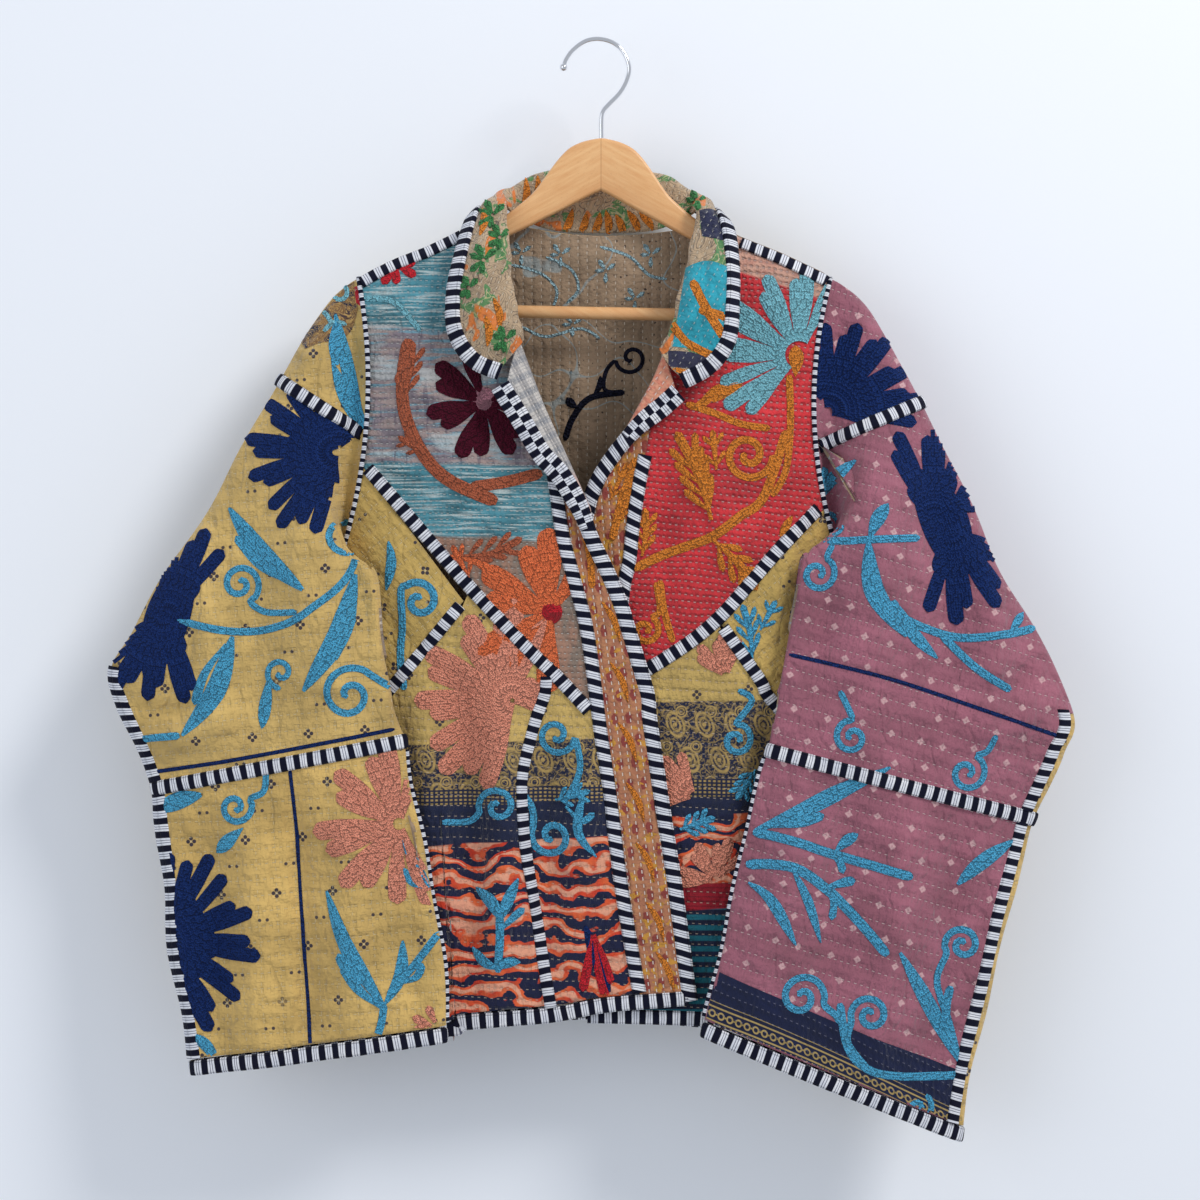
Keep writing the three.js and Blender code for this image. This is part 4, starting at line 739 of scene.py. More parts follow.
def mat_collar():
    m = Mat("collar_cloth")
    col = tone(m, (186, 162, 132), 0.1, 0.03)
    w = m.noise(m.u, m.v, 0.035, 2.0, 0.5, 0.6)
    contour = ((w * 26).frac() - 0.5).abs().ramp(0.13, 0.07)
    col = m.mix(contour * 0.7, col, (70, 60, 62))
    patch = m.noise(m.u, m.v, 0.045, 2.0, 0.5, 0.8, seed=3)
    col = m.mix(patch.ramp(0.56, 0.575) * 0.85, col, (66, 132, 78))
    col = m.mix((patch - 0.62).abs().ramp(0.012, 0.006) * 0.8, col, (196, 184, 138))
    fire = m.noise(m.u, m.v * 0.7, 0.05, 2.0, 0.5, 0.5, seed=14)
    col = m.mix(fire.ramp(0.6, 0.615) * 0.85, col, (222, 118, 40))
    t, h = m.rows(*m.turned(70), 6.5, 5.4, 0.45, 0.7, 1.0)
    col = m.mix(t * 0.7, col, (228, 214, 190))
    return m.done(col, h + m.weave())


def mat_inside():
    m = Mat("inside_cloth")
    col = tone(m, (160, 137, 113), 0.08, 0.02)
    speck = m.noise(m.u, m.v, 0.32, 1.0, seed=2).ramp(0.69, 0.72)
    blot = m.noise(m.u, m.v, 0.012, 1.0, seed=6).ramp(0.46, 0.56)
    col = m.mix(speck * blot * 0.85, col, (36, 30, 34))
    vine = (m.noise(m.u, m.v, 0.016, 1.0, seed=9) - 0.5).abs().ramp(0.008, 0.004)
    col = m.mix(vine * 0.5, col, (150, 180, 190))
    t, h = m.rows(m.v, m.u, 8.0, 5.8, 0.45, 0.7, 1.0)
    col = m.mix(t * 0.75, col, (226, 214, 196))
    return m.done(col, h * 0.7 + m.weave(0.8))


def mat_plain(name, colour, rows=10.0, turn=0.0, thread=(226, 214, 190)):
    m = Mat(name)
    col = tone(m, colour, 0.08)
    t, h = m.rows(*m.turned(turn), rows, 6.0, 0.45, 0.6, 1.0)
    col = m.mix(t * 0.6, col, thread)
    return m.done(col, h + m.weave())


def mat_stripe(name="binding", period=11.7, slant=0.0, two=False, dark=(11, 14, 36)):
    """Cross-striped bias binding: u runs along it, v across it."""
    m = Mat(name, rough=0.8, sheen=0.03, spec=0.15)
    u = m.u + m.v * slant + (m.noise(m.u, m.v, 0.05, 1.0) - 0.5) * 2.4
    if two:
        u = u + m.v.ramp(-0.05, 0.05) * (period / 2)
    a = (u / period).frac()
    white = (a - 0.5).abs().ramp(0.275, 0.245)
    tint = m.noise(m.u, m.v, 0.05, 2.0)
    col = m.mix(white, dark, m.mix(tint.ramp(0.3, 0.7), (216, 220, 230), (240, 241, 245)))
    hair = ((a - 0.41).abs().ramp(0.034, 0.016)).max((a - 0.58).abs().ramp(0.034, 0.016))
    col = m.mix(hair * 0.85, col, (40, 46, 82))
    fine = (m.u * 9.0).sin() * 0.03 + (m.v * 9.0).sin() * 0.03
    pucker = m.noise(m.u, m.v, 0.22, 2.0) * 0.9
    groove = (m.v.abs() - 5.0).abs().ramp(0.6, 0.0) * -0.5
    return m.done(col, fine + pucker + groove)


def mat_thread(name, colour, rib=2.2, glow=0.06):
    """Close chain stitch: lumps, with painted shade in the hole of each loop and in the gaps between lumps; u runs
    along the rows, v across.
    """
    m = Mat(name, rough=0.8, sheen=glow, spec=0.15)
    pale = tuple(min(255, int(c * 1.10 + 7)) for c in colour)
    # dark: the thread colour in painted shade
    dark = tuple(int(c * 0.42) for c in colour)
    vv = m.v + (m.noise(m.u, m.v, 0.09, 1.0) - 0.5) * 3.0
    uu = m.u + (m.noise(m.u, m.v, 0.13, 1.0, seed=3) - 0.5) * 3.0
    d = m.cells(uu / 2.9, vv / rib, 0.55)
    col = m.mix(m.noise(m.u, m.v, 0.14, 3.0, 0.6).ramp(0.32, 0.68), colour, pale)
    # painted shade: the thread darkens in the gaps between lumps and in the hole of each loop
    col = m.mix(d.ramp(0.42, 0.66) * 0.75, col, dark)
    col = m.mix(d.ramp(0.17, 0.09) * 0.7, col, dark)
    twist = (m.u * 1.9 + m.v * 2.3).sin() * 0.10
    return m.done(col, d.ramp(0.62, 0.16).sqrt() * 1.15 - d.ramp(0.17, 0.07) * 0.7 + twist)


def mat_flatcolour(name, colour, rough=0.85):
    m = Mat(name, rough)
    t, h = m.rows(*m.turned(60), 6.5, 5.2, 0.4, 0.6, 1.0)
    col = m.mix(t * 0.5, tone(m, colour, 0.12, 0.05), (230, 226, 214))
    return m.done(col, h + m.weave())


def mat_wood():
    m = Mat("beech", rough=0.38, sheen=0.0, spec=0.45)
    x, z = m.u, m.v
    g = x.abs() * 0.55 + z
    grain = m.noise(g * 1.0, x.abs() * 0.12, 0.35, 4.0, 0.6)
    band = m.noise(g, x * 0.05, 0.06, 2.0)
    col = m.mix(grain.ramp(0.3, 0.7), (224, 166, 108), (238, 190, 134))
    col = m.mix(band.ramp(0.45, 0.6) * 0.45, col, (214, 152, 96))
    pores = m.noise(g * 2.0, x.abs() * 0.3, 1.4, 1.0).ramp(0.66, 0.72)
    col = m.mix(pores * 0.35, col, (150, 92, 50))
    col = m.mix((x + 0.4).abs().ramp(0.45, 0.15) * 0.5, col, (140, 84, 44))
    m.b.inputs["Coat Weight"].default_value = 0.25
    m.b.inputs["Coat Roughness"].default_value = 0.25
    return m.done(col, grain * 0.06)


def mat_chrome():
    m = Mat("chrome", rough=0.12, sheen=0.0, spec=0.5, metal=1.0)
    m.b.inputs["Base Color"].default_value = (0.78, 0.79, 0.82, 1)
    return m.m


def mat_saree():
    """The woven band over the right cuff: navy with gold rings and lines; u along, v across from its lower edge."""
    m = Mat("cuff_band")
    navy = tone(m, (18, 27, 60), 0.14)
    v, u = m.v, m.u
    gold = (184, 158, 96)
    lines = ((v - 18).abs().ramp(0.9, 0.5)).max((v - 6.5).abs().ramp(0.9, 0.5)).max((v - 22).abs().ramp(0.5, 0.2))
    cu = ((u / 8.0).frac() - 0.5) * 8.0
    ring = ((cu.sq() + (v - 12.2).sq()).sqrt() - 2.5).abs().ramp(0.9, 0.5)
    mid = ((cu.abs() - 4.0).sq() + (v - 12.2).sq()).sqrt().ramp(0.9, 0.6)
    leafr = ((u / 5.0).frac() - 0.5).abs().ramp(0.18, 0.1) * (v - 3.0).abs().ramp(2.0, 1.4)
    col = m.mix(lines.max(ring).max(mid).max(leafr) * 0.85, navy, gold)
    t, h = m.rows(m.u, m.v, 9.0, 5.5, 0.4, 0.6, 1.0)
    col = m.mix(t * 0.35, col, (160, 160, 190))
    return m.done(col, h * 0.8 + m.weave())


# ---------------------------------------------------------------- meshes
CLOTHS, MADE, CUTS = {}, {}, []


def make(name, verts, faces, uvs, mats, midx=None, smooth=True):
    me = bpy.data.meshes.new(name)
    me.from_pydata([tuple(p) for p in np.asarray(verts) * 0.001], [], faces)
    layer = me.uv_layers.new(name="UVMap")
    loops = np.zeros(len(me.loops), dtype=np.int32)
    me.loops.foreach_get("vertex_index", loops)
    layer.data.foreach_set("uv", (np.asarray(uvs, float)[loops] * 0.001).astype(np.float32).ravel())
    for m in mats:
        me.materials.append(m)
    if midx is not None:
        me.polygons.foreach_set("material_index", np.asarray(midx, dtype=np.int32))
    if smooth:
        me.polygons.foreach_set("use_smooth", np.ones(len(me.polygons), dtype=bool))
    me.update()
    ob = bpy.data.objects.new(name, me)
    bpy.context.scene.collection.objects.link(ob)
    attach(ob, "root")
    return ob


def grid_faces(nu, nv, off=0, closed=False, flip=False):
    f = []
    last = nu if closed else nu - 1
    for i in range(last):
        k = (i + 1) % nu
        for j in range(nv - 1):
            q = (off + i * nv + j, off + k * nv + j, off + k * nv + j + 1, off + i * nv + j + 1)
            f.append(q[::-1] if flip else q)
    return f


def grid_normals(P):
    du = np.gradient(P, axis=0)
    dv = np.gradient(P, axis=1)
    return unit(np.cross(du, dv))


def grid_area(P):
    a = P[1:, :-1] - P[:-1, :-1]
    b = P[:-1, 1:] - P[:-1, :-1]
    return float(np.linalg.norm(np.cross(a, b), axis=-1).sum())


def shell(node, surface, out_dir, mats, thick=CLOTH - 0.3, uv=None, one_way=False, same=None):
    """A cloth piece: surface() gives the grid of its outer face; out_dir points out of it."""
    FLAT["on"] = True
    P0 = surface()
    FLAT["on"] = False
    P = surface()
    n = grid_normals(P)
    out = out_dir if isinstance(out_dir, np.ndarray) and out_dir.ndim == 3 else np.broadcast_to(np.asarray(out_dir, float), P.shape)
    dots = (n * out).sum(-1, keepdims=True)
    # a tube that folds back on itself keeps one side all over
    n = n * (np.sign(dots.sum()) if one_way else np.where(dots < 0, -1, 1))
    Q = P - n * thick
    nu, nv = P.shape[:2]
    V = np.concatenate([P.reshape(-1, 3), Q.reshape(-1, 3)])
    mid = n[nu // 2, nv // 2]
    c = np.cross(P[nu // 2 + 1, nv // 2] - P[nu // 2, nv // 2], P[nu // 2, nv // 2 + 1] - P[nu // 2, nv // 2])
    flip = float(np.dot(c, mid)) < 0
    N = nu * nv
    F = grid_faces(nu, nv, 0, flip=flip)
    F2 = grid_faces(nu, nv, N, flip=not flip)
    rim = []
    for i in range(nu - 1):
        rim.append((i * nv, N + i * nv, N + (i + 1) * nv, (i + 1) * nv))
        rim.append(((i + 1) * nv + nv - 1, N + (i + 1) * nv + nv - 1, N + i * nv + nv - 1, i * nv + nv - 1))
    for j in range(nv - 1):
        rim.append((j + 1, N + j + 1, N + j, j))
        rim.append(((nu - 1) * nv + j, N + (nu - 1) * nv + j, N + (nu - 1) * nv + j + 1, (nu - 1) * nv + j + 1))
    if flip:
        rim = [r[::-1] for r in rim]
    uvs = (P[..., [0, 2]] if uv is None else uv).reshape(-1, 2)
    uvs = np.concatenate([uvs, uvs])
    inner = [min(1, len(mats) - 1)] * len(F2)
    if same is not None:  # cells whose inner face wears the outer cloth too
        inner = [0 if q else i for q, i in zip(same[:-1, :-1].ravel(), inner)]
    ob = make("cloth_" + node, V, F + F2 + rim, uvs, mats, [0] * len(F) + inner + [0] * len(rim))
    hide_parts(node)
    # its cut: the piece on the smooth form, laid flat
    area = grid_area(P0) * 1e-6
    w = float(np.linalg.norm(np.diff(P0, axis=0), axis=-1).sum(0).mean()) * 1e-3
    l = float(np.linalg.norm(np.diff(P0, axis=1), axis=-1).sum(1).mean()) * 1e-3
    k = max(1.0, area / (w * l) * 1.002)
    CUTS.append([node, ob, w * k, l, area])
    CLOTHS[node] = ob
    return ob


def ribbon(name, pts, nrm, sec, mats, closed=False, wdir=None, node=None, vlist=None, ends=True, uscale=1.0):
    """One section along a path. sec is a list of (across, up); the path runs pts with normals nrm."""
    n = len(pts)
    tan = unit(np.gradient(pts, axis=0)) if not closed else unit(np.roll(pts, -1, 0) - np.roll(pts, 1, 0))
    w = unit(np.cross(tan, nrm)) if wdir is None else wdir
    sec = np.asarray(sec, float)
    m = len(sec)
    if sec.ndim == 2:
        sec = np.broadcast_to(sec, (n, m, 2))
    else:
        m = sec.shape[1]
    V = pts[:, None, :] + w[:, None, :] * sec[..., 0:1] + nrm[:, None, :] * sec[..., 1:2]
    s = np.concatenate([[0], np.cumsum(np.linalg.norm(np.diff(pts, axis=0), axis=-1))])
    vv = sec[..., 0] if vlist is None else np.broadcast_to(np.asarray(vlist, float), (n, m))
    UV = np.stack([np.broadcast_to(s[:, None] * uscale, (n, m)), vv], -1)
    faces = []
    if closed:
        V = np.concatenate([V, V[:1]])
        UV = np.concatenate([UV, UV[:1] + [[np.linalg.norm(pts[0] - pts[-1]) + s[-1], 0]]])
        n += 1
    for i in range(n - 1):
        for j in range(m):
            k = (j + 1) % m
            faces.append((i * m + j, (i + 1) * m + j, (i + 1) * m + k, i * m + k))
    if not closed and ends:
        faces.append(tuple(range(m)))
        faces.append(tuple((n - 1) * m + j for j in range(m))[::-1])
    ob = make(name, V.reshape(-1, 3), faces, UV.reshape(-1, 2), mats)
    if node:
        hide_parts(node)
    MADE[name] = ob
    return ob


def pillow(w, o, h, n=9):
    """A low rounded top on a flat base."""
    a = np.linspace(math.pi, 0, n)
    top = [(math.cos(k) * w / 2, o + math.sin(k) ** 0.45 * h) for k in a]
    return top + [(w / 2 - 0.4, o - 0.6), (-w / 2 + 0.4, o - 0.6)]


def bead(w, t=1.3, n=16):
    """A binding folded over an edge."""
    a = np.linspace(0, 2 * math.pi, n, endpoint=False)
    return [(math.copysign(abs(math.cos(k)) ** 0.6, math.cos(k)) * w / 2, -CLOTH / 2 + math.copysign(abs(math.sin(k)) ** 0.55, math.sin(k)) * (CLOTH / 2 + t)) for k in a[::-1]]


# ---------------------------------------------------------------- the cloths
M = dict(ochre=mat_ochre(), ochre_low=mat_ochre("ochre_low", 3.0, (206, 172, 102)), gore=mat_ochre("ochre_gore", 40.0, (192, 162, 92)),
         back=mat_ochre("ochre_back", 0.0, (196, 164, 98)), mauve=mat_mauve(), teal=mat_teal(), crimson=mat_crimson(),
         lower_l=mat_lower("lower_left"), lower_r=mat_lower("lower_right", False), placket_l=mat_placket("placket_left"), placket_r=mat_placket("placket_right", False),
         lapel_l=mat_lapel("lapel_left"), lapel_r=mat_lapel("lapel_right", False), collar=mat_collar(), inside=mat_inside(),
         stripe=mat_stripe(), stripe_slant=mat_stripe("binding_slant", 11.7, 0.38), stripe_two=mat_stripe("binding_two", 11.7, 0.0, True),
         piping=mat_stripe("piping_cloth", 7.0), wood=mat_wood(), chrome=mat_chrome(), saree=mat_saree(),
         under=mat_plain("collar_under", (150, 128, 106)))


def coons(node, top, low, lefts, rights, nu, nv, yf, out, mats):
    U, V = np.meshgrid(np.linspace(0, 1, nu), np.linspace(0, 1, nv), indexing="ij")

    def surface():
        t, l, a, b = top(U), low(U), lefts(V), rights(V)
        t0, t1, l0, l1 = top(0.0), top(1.0), low(0.0), low(1.0)
        xz = [t[k] * (1 - V) + l[k] * V + a[k] * (1 - U) + b[k] * U
              - (t0[k] * (1 - U) * (1 - V) + t1[k] * U * (1 - V) + l0[k] * (1 - U) * V + l1[k] * U * V) for k in (0, 1)]
        return np.stack([xz[0], yf(xz[0], xz[1]), xz[1]], -1)
    return shell(node, surface, out, mats)


def arm(S, sign):
    def f(t):
        t = np.clip(np.asarray(t, float), 1e-6, 1)
        p = sleeve_at(S.tb, sign * t, 0 * t)
        return p[..., 0], p[..., 2]
    return f


def shoulder(a, b):
    def f(t):
        x = a + (b - a) * np.asarray(t, float)
        return x, look(SHOULDER, "x", "z", x)
    return f


def side_line(key, sign, a, b):
    def f(t):
        z = a + (b - a) * np.asarray(t, float)
        return sign * look(WIDTH, "z", key, z), z
    return f


def straight(a, b):
    return lambda t: (a[0] + (b[0] - a[0]) * np.asarray(t, float), a[1] + (b[1] - a[1]) * np.asarray(t, float))


G = 0.1
arm_l, arm_r = arm(SL, 1), arm(SR, 1)
yoke_l, gore_l, panel_l, placket_l, roll_l, hem_l, neck_l = [line(t) for t in (YOKE_L, GORE_L, PANEL_L, PLACKET_L, ROLL_L, HEM_L, NECK_L)]
yoke_r, gore_r, placket_r, roll_r, edge_r, hem_r, neck_r = [line(t) for t in (YOKE_R, GORE_R, PLACKET_R, ROLL_R, EDGE_R, HEM_R, NECK_R)]
FRONT, BACK = (0, -1, 0), (0, 1, 0)
inner_l = join(join(beside(neck_l, -G), beside(part(roll_l, 0, 0.26), -G), 0.68), beside(span(placket_l, -52, -307, -4, -578), -G), 0.36)
coons("front_l_yoke", shoulder(-209 + G, -86 - G), shift(part(yoke_l, 0, 0.99), 0, G), lambda v: arm_l(np.asarray(v) * 0.6), inner_l, 56, 110, front_c, FRONT, [M["teal"], M["inside"]])
coons("front_l_gore", shift(span(yoke_l, -201, -367, -118, -464), -0.2, -G), side_line("left", -1, -454, -608), lambda v: arm_l(0.6 + 0.395 * np.asarray(v)),
      shift(lambda t: gore_l(1 - np.asarray(t, float)), -0.3, G), 34, 34, front_c, FRONT, [M["gore"], M["inside"]])
hem_top_l = beside(hem_l, EDGE - 2)
low_panel = part(panel_l, 0, nearest(panel_l, -44, -826.2))
coons("front_l_side", join(shift(gore_l, 0.3, -G), shift(span(yoke_l, -115, -468, -49, -540), -0.3, -G), 0.62), span(hem_top_l, -243, -844, -46, -830),
      side_line("left", -1, -620, -844), shift(low_panel, -G, 0), 56, 84, front_c, FRONT, [M["lower_l"], M["inside"]])
coons("front_l_centre", shift(span(yoke_l, -46, -541, -8, -577), -0.2, -G), span(hem_top_l, -42.5, -830, 32, -817), shift(low_panel, G, 0),
      shift(span(placket_l, -3, -580, 32.5, -817), -G, 0), 28, 76, front_c, FRONT, [M["lower_l"], M["inside"]])
edge_in_l = beside(edge_l, -EDGE / 2 + 1)
placket_out_l = join(beside(part(roll_l, 0.3, 0.66), -G), part(beside(edge_l, -EDGE / 2 + 1), nearest(edge_l, 0, -446), nearest(edge_in_l, 68, -816)), 0.2)
placket_in_l = shift(span(placket_l, -51, -312, 32.5, -817), G, 0)
coons("front_l_placket", straight(placket_in_l(0.0), placket_out_l(0.0)), straight(placket_in_l(1.0), placket_out_l(1.0)), placket_in_l, placket_out_l, 14, 130, front_c, FRONT,
      [M["placket_l"], M["inside"]])
LIFT_L = lambda u, v: 5 + (8 - 4 * v) * np.sqrt(u) + (1 - v) * 3
LIFT_R = lambda u, v: 5 + (7 - 3 * v) * np.sqrt(u) + (1 - v) * 3


def lapel(node, roll, edge, yf, lift, mats):
    U, V = np.meshgrid(np.linspace(0, 1, 14), np.linspace(0, 1, 60), indexing="ij")

    def surface():
        a, b = roll(V), edge(V)
        x, z = a[0] + (b[0] - a[0]) * U, a[1] + (b[1] - a[1]) * U
        return np.stack([x, yf(x, z) - lift(U, V), z], -1)
    return shell(node, surface, FRONT, mats)


e_l, e_r = nearest(edge_l, -14, -415), nearest(edge_r, 26, -339)
lapel("lapel_l", part(roll_l, 0.01, 0.8), part(beside(edge_l, EDGE / 2 - 0.6), 0.01, e_l), front_c, LIFT_L, [M["lapel_l"], M["placket_l"]])
lapel("lapel_r", part(roll_r, 0.02, 0.66), part(beside(edge_r, -EDGE / 2 + 0.6), 0.01, e_r), front_c, LIFT_R, [M["lapel_r"], M["placket_r"]])
inner_r = join(join(beside(neck_r, G), beside(part(roll_r, 0, 0.24), G), 0.7), beside(span(placket_r, 44, -292, 15, -552), G), 0.36)
coons("front_r_yoke", shoulder(197 - G, 86 + G), shift(part(yoke_r, 0, 0.99), 0, G), lambda v: arm_r(np.asarray(v) * 0.705), inner_r, 50, 104, right_c, FRONT, [M["crimson"], M["inside"]])
coons("front_r_gore", shift(span(yoke_r, 186, -402, 102, -494), 0.2, -G), side_line("right", 1, -454, -637), lambda v: arm_r(0.705 + 0.29 * np.asarray(v)),
      shift(lambda t: gore_r(1 - np.asarray(t, float)), 0.3, G), 34, 34, right_c, FRONT, [M["gore"], M["inside"]])
hem_top_r = shift(lambda t: hem_r(1 - np.asarray(t, float)), 0, EDGE - 2)
coons("front_r_lower", join(shift(gore_r, -0.3, -G), shift(span(yoke_r, 98, -498, 17, -557), 0.3, -G), 0.6), part(hem_top_r, 0, nearest(hem_top_r, 28, -832)),
      side_line("right", 1, -642, -846), shift(span(placket_r, 15, -558, 27, -832), G, 0), 50, 84, right_c, FRONT, [M["lower_r"], M["inside"]])
edge_in_r = beside(edge_r, EDGE / 2 - 1)
placket_out_r = join(beside(part(roll_r, 0.26, 0.6), G), part(beside(edge_r, EDGE / 2 - 1), nearest(edge_r, -9, -398), nearest(edge_in_r, -10, -830)), 0.14)
placket_in_r = shift(span(placket_r, 44, -297, 27, -832), -G, 0)
coons("front_r_placket", straight(placket_in_r(0.0), placket_out_r(0.0)), straight(placket_in_r(1.0), placket_out_r(1.0)), placket_in_r, placket_out_r, 14, 130, right_c, FRONT,
      [M["placket_r"], M["inside"]])
neck_b, hem_b = line(NECK_BACK), line(HEM_BACK)


def back_top(u):
    u = np.asarray(u, float)
    a, b, c = shoulder(-209 + G, -86)(np.clip(u / 0.3, 0, 1)), neck_b(np.clip((u - 0.3) / 0.4, 0, 1)), shoulder(86, 197 - G)(np.clip((u - 0.7) / 0.3, 0, 1))
    return tuple(np.where(u < 0.3, a[k], np.where(u > 0.7, c[k], b[k])) for k in (0, 1))


def back_side(f, key, sign):
    s = side_line(key, sign, -453, -847)

    def g(v):
        v = np.asarray(v, float)
        a, b = f(np.clip(v / 0.37, 0, 1)), s(np.clip((v - 0.37) / 0.63, 0, 1))
        return tuple(np.where(v <= 0.37, a[k], b[k]) for k in (0, 1))
    return g


coons("back", back_top, shift(hem_b, 0, EDGE - 2), back_side(arm(SL, -1), "left", -1), back_side(arm(SR, -1), "right", 1), 118, 170, back_c, BACK, [M["back"], M["inside"]])


# ---------------------------------------------------------------- sleeve pieces and their bindings
def sleeve(S, cloth, low, back_low):
    tag, k = S.tag, S.seam["t"]
    ochre_back = low is not back_low
    fold_t = 0.11 if ochre_back else 0.0  # the ochre back comes round the folded edge
    end = lambda t: np.where(ochre_back & (np.asarray(t) < fold_t), ELBOW, LOWER)

    def flat_middle(P, T, s):
        """Neither wall passes the sleeve's middle plane."""
        r = blend(S.tb, s)
        m = np.where(s > 5.5, r["yo"] + (r["yi"] - r["yo"]) * (1 - np.cos(np.pi * T)) / 2, (S.at(np.abs(T), s)[..., 1] + S.at(-np.abs(T) - 1e-9, s)[..., 1]) / 2)
        held = (s > 5.5) | (np.abs(T) > 0.05)
        y = np.where(T >= 0, np.minimum(P[..., 1], m - 1.2), np.maximum(P[..., 1], m + 1.2))
        P[..., 1] = np.where(held, y, P[..., 1])
        return P

    def piece(node, ts, a, b, nv, mats, turn=None):
        T, V = np.meshgrid(ts, np.linspace(0, 1, nv), indexing="ij")
        s0, s1 = a(T), b(T)
        s = s0 + (s1 - s0) * V
        if turn:  # every column shares its rows down to here, then runs to its own end
            s = np.where(V <= 0.72, s0 + (turn - s0) * V / 0.72, turn + (s1 - turn) * (V - 0.72) / 0.28)
        out = S.outward(T, s)
        if turn:
            return shell(node, lambda: flat_middle(S.at(T, s), T, s), out, mats, one_way=True, same=(np.abs(T) > 0.5) & (s < 4.6))
        return shell(node, lambda: S.at(T, s), out, mats)
    piece(f"sleeve_{tag}_cap", np.linspace(-k * 0.998, k * 0.998, 64), lambda t: S.gap(t, 0, 0.1), lambda t: S.gap(t, S.seam_at(t), -0.2), 34, [cloth, M["inside"]])
    tt = np.sin(np.linspace(-1, 1, 112) * math.pi / 2)
    tt = 0.45 * tt + 0.55 * np.linspace(-1, 1, 112)
    if ochre_back:
        tt = np.unique(np.concatenate([tt, [fold_t - 0.002, fold_t]]))
    piece(f"sleeve_{tag}_upper", tt, lambda t: S.gap(t, S.seam_at(t), 0.2), lambda t: S.gap(t, end(t), -0.1), 90, [cloth, M["inside"]], ELBOW - 0.15)
    for side, ts, c in (("front", np.linspace(max(fold_t, 1e-4), 1.0, 56), low), ("back", np.linspace(max(fold_t, -1e-4) if ochre_back else -1e-4, -1.0, 60), back_low)):
        top_t = ts[-1] if side == "back" else 1.0
        piece(f"sleeve_{tag}_lower_{side}", ts, lambda t: S.gap(t, end(top_t), 0.1), lambda t: S.gap(t, CUFF, -EDGE + 2), 84 if side == "back" and ochre_back else 66, [c, M["inside"]])

    def along(ts, ss, closed=False):
        p = S.at(ts, ss)
        dt = S.at(ts + 0.004, ss) - S.at(ts - 0.004, ss)
        ds = S.at(ts, np.minimum(CUFF, ss + 0.04)) - S.at(ts, np.maximum(0, ss - 0.04))
        n = unit(np.cross(dt, ds))
        o = S.outward(ts, ss)
        n = n * np.where((n * o).sum(-1, keepdims=True) < 0, -1, 1)
        for _ in range(2):
            n = unit(n + 0.7 * (np.roll(n, 1, 0) + np.roll(n, -1, 0)) if closed else n)
        return p, n
    ring = np.linspace(-1, 1, 241)[:-1]
    p, n = along(ring, np.full_like(ring, LOWER), True)
    ribbon(f"binding_lower_arm_{tag}_v", p, n, pillow(SLEEVE_SEAM, 0.3, 2.6), [M["stripe"]], True, node=f"binding_lower_arm_{tag}")
    p, n = along(ring, S.gap(ring, CUFF, -EDGE / 2), True)
    ribbon(f"binding_cuff_{tag}_v", p, n, bead(EDGE), [M["stripe"]], True, node=f"binding_cuff_{tag}")
    cap = np.linspace(-0.985, 0.985, 120) * k
    p, n = along(cap, np.maximum(0.04, S.seam_at(cap)))
    ribbon(f"binding_upper_arm_{tag}_v", p, n, pillow(SLEEVE_SEAM - 0.5, 0.6, 3.2), [M["stripe"]], node=f"binding_upper_arm_{tag}")
    a = np.concatenate([np.linspace(-0.9, -0.02, 90), np.linspace(0.02, 0.9, 90)])
    p = S.at(a, np.zeros_like(a))
    n = unit(np.stack([0 * a, np.where(a > 0, -1, 1), 0 * a + np.where(np.abs(a) < 0.1, 1.2, 0.1)], -1))
    ribbon(f"piping_armhole_{tag}_v", p, n, pillow(4.2, 0.2, 2.4), [M["piping"]], node=f"piping_armhole_{tag}")

    def rim(t, s0, s1, nn, name, w, h, mat, node):
        s = np.linspace(s0, s1, nn)
        r = blend(S.tb, s)
        e = unit(np.stack([r["ox"] - r["ix"], r["yo"] - r["yi"], r["oz"] - r["iz"]], -1)) * (1 if t == 0 else -1)
        p = S.at(np.full_like(s, t), s)
        aa = np.linspace(0, 2 * math.pi, 14, endpoint=False)
        ribbon(name, p, e, [(math.cos(q) * w / 2, 0.6 + math.sin(q) * h) for q in aa[::-1]], [mat], node=node, vlist=[0.5 * math.sin(q) * h for q in aa[::-1]])
    lo = float(S.gap(0.0, LOWER, SLEEVE_SEAM / 2 - 1))

    def wrap(s0, s1, nn, name, node):
        s = np.linspace(s0, s1, nn)[:, None]
        r = blend(S.tb, s)
        chord = np.hypot(r["ox"] - r["ix"], r["oz"] - r["iz"])
        share = lambda mm: np.arccos(1 - 2 * mm / chord) / math.pi
        ta, tb_ = (share(5.0), share(16.0)) if ochre_back else (-share(4.0), share(10.5))
        w = np.linspace(-1, 1, 19)[None]
        t = ta + (tb_ - ta) * (w + 1) / 2
        ss = s + 0 * t
        P = S.at(t, ss)
        nrm = grid_normals(P)
        nrm = nrm * np.where((nrm * S.outward(t, ss)).sum(-1, keepdims=True) < 0, -1, 1)
        P = P + nrm * (0.2 + 2.3 * (1 - np.abs(w) ** 5) - 0.8 * (np.abs(w) > 0.99))[..., None]
        lu = np.concatenate([[0], np.cumsum(np.linalg.norm(np.diff(P[:, 9], axis=0), axis=1))])
        lv = np.concatenate([np.zeros((nn, 1)), np.cumsum(np.linalg.norm(np.diff(P, axis=1), axis=-1), axis=1)], 1)
        lv = lv - lv[:, 9:10]
        ob = make(name, P.reshape(-1, 3), grid_faces(nn, 19), np.stack([lu[:, None] + 0 * lv, lv * 0.75], -1).reshape(-1, 2), [M["stripe"]])
        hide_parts(node)
        MADE[name] = ob
    wrap(lo, float(S.gap(0.0, CUFF, -EDGE + 2)), 150, f"binding_outseam_low_{tag}_v", f"binding_outseam_low_{tag}")
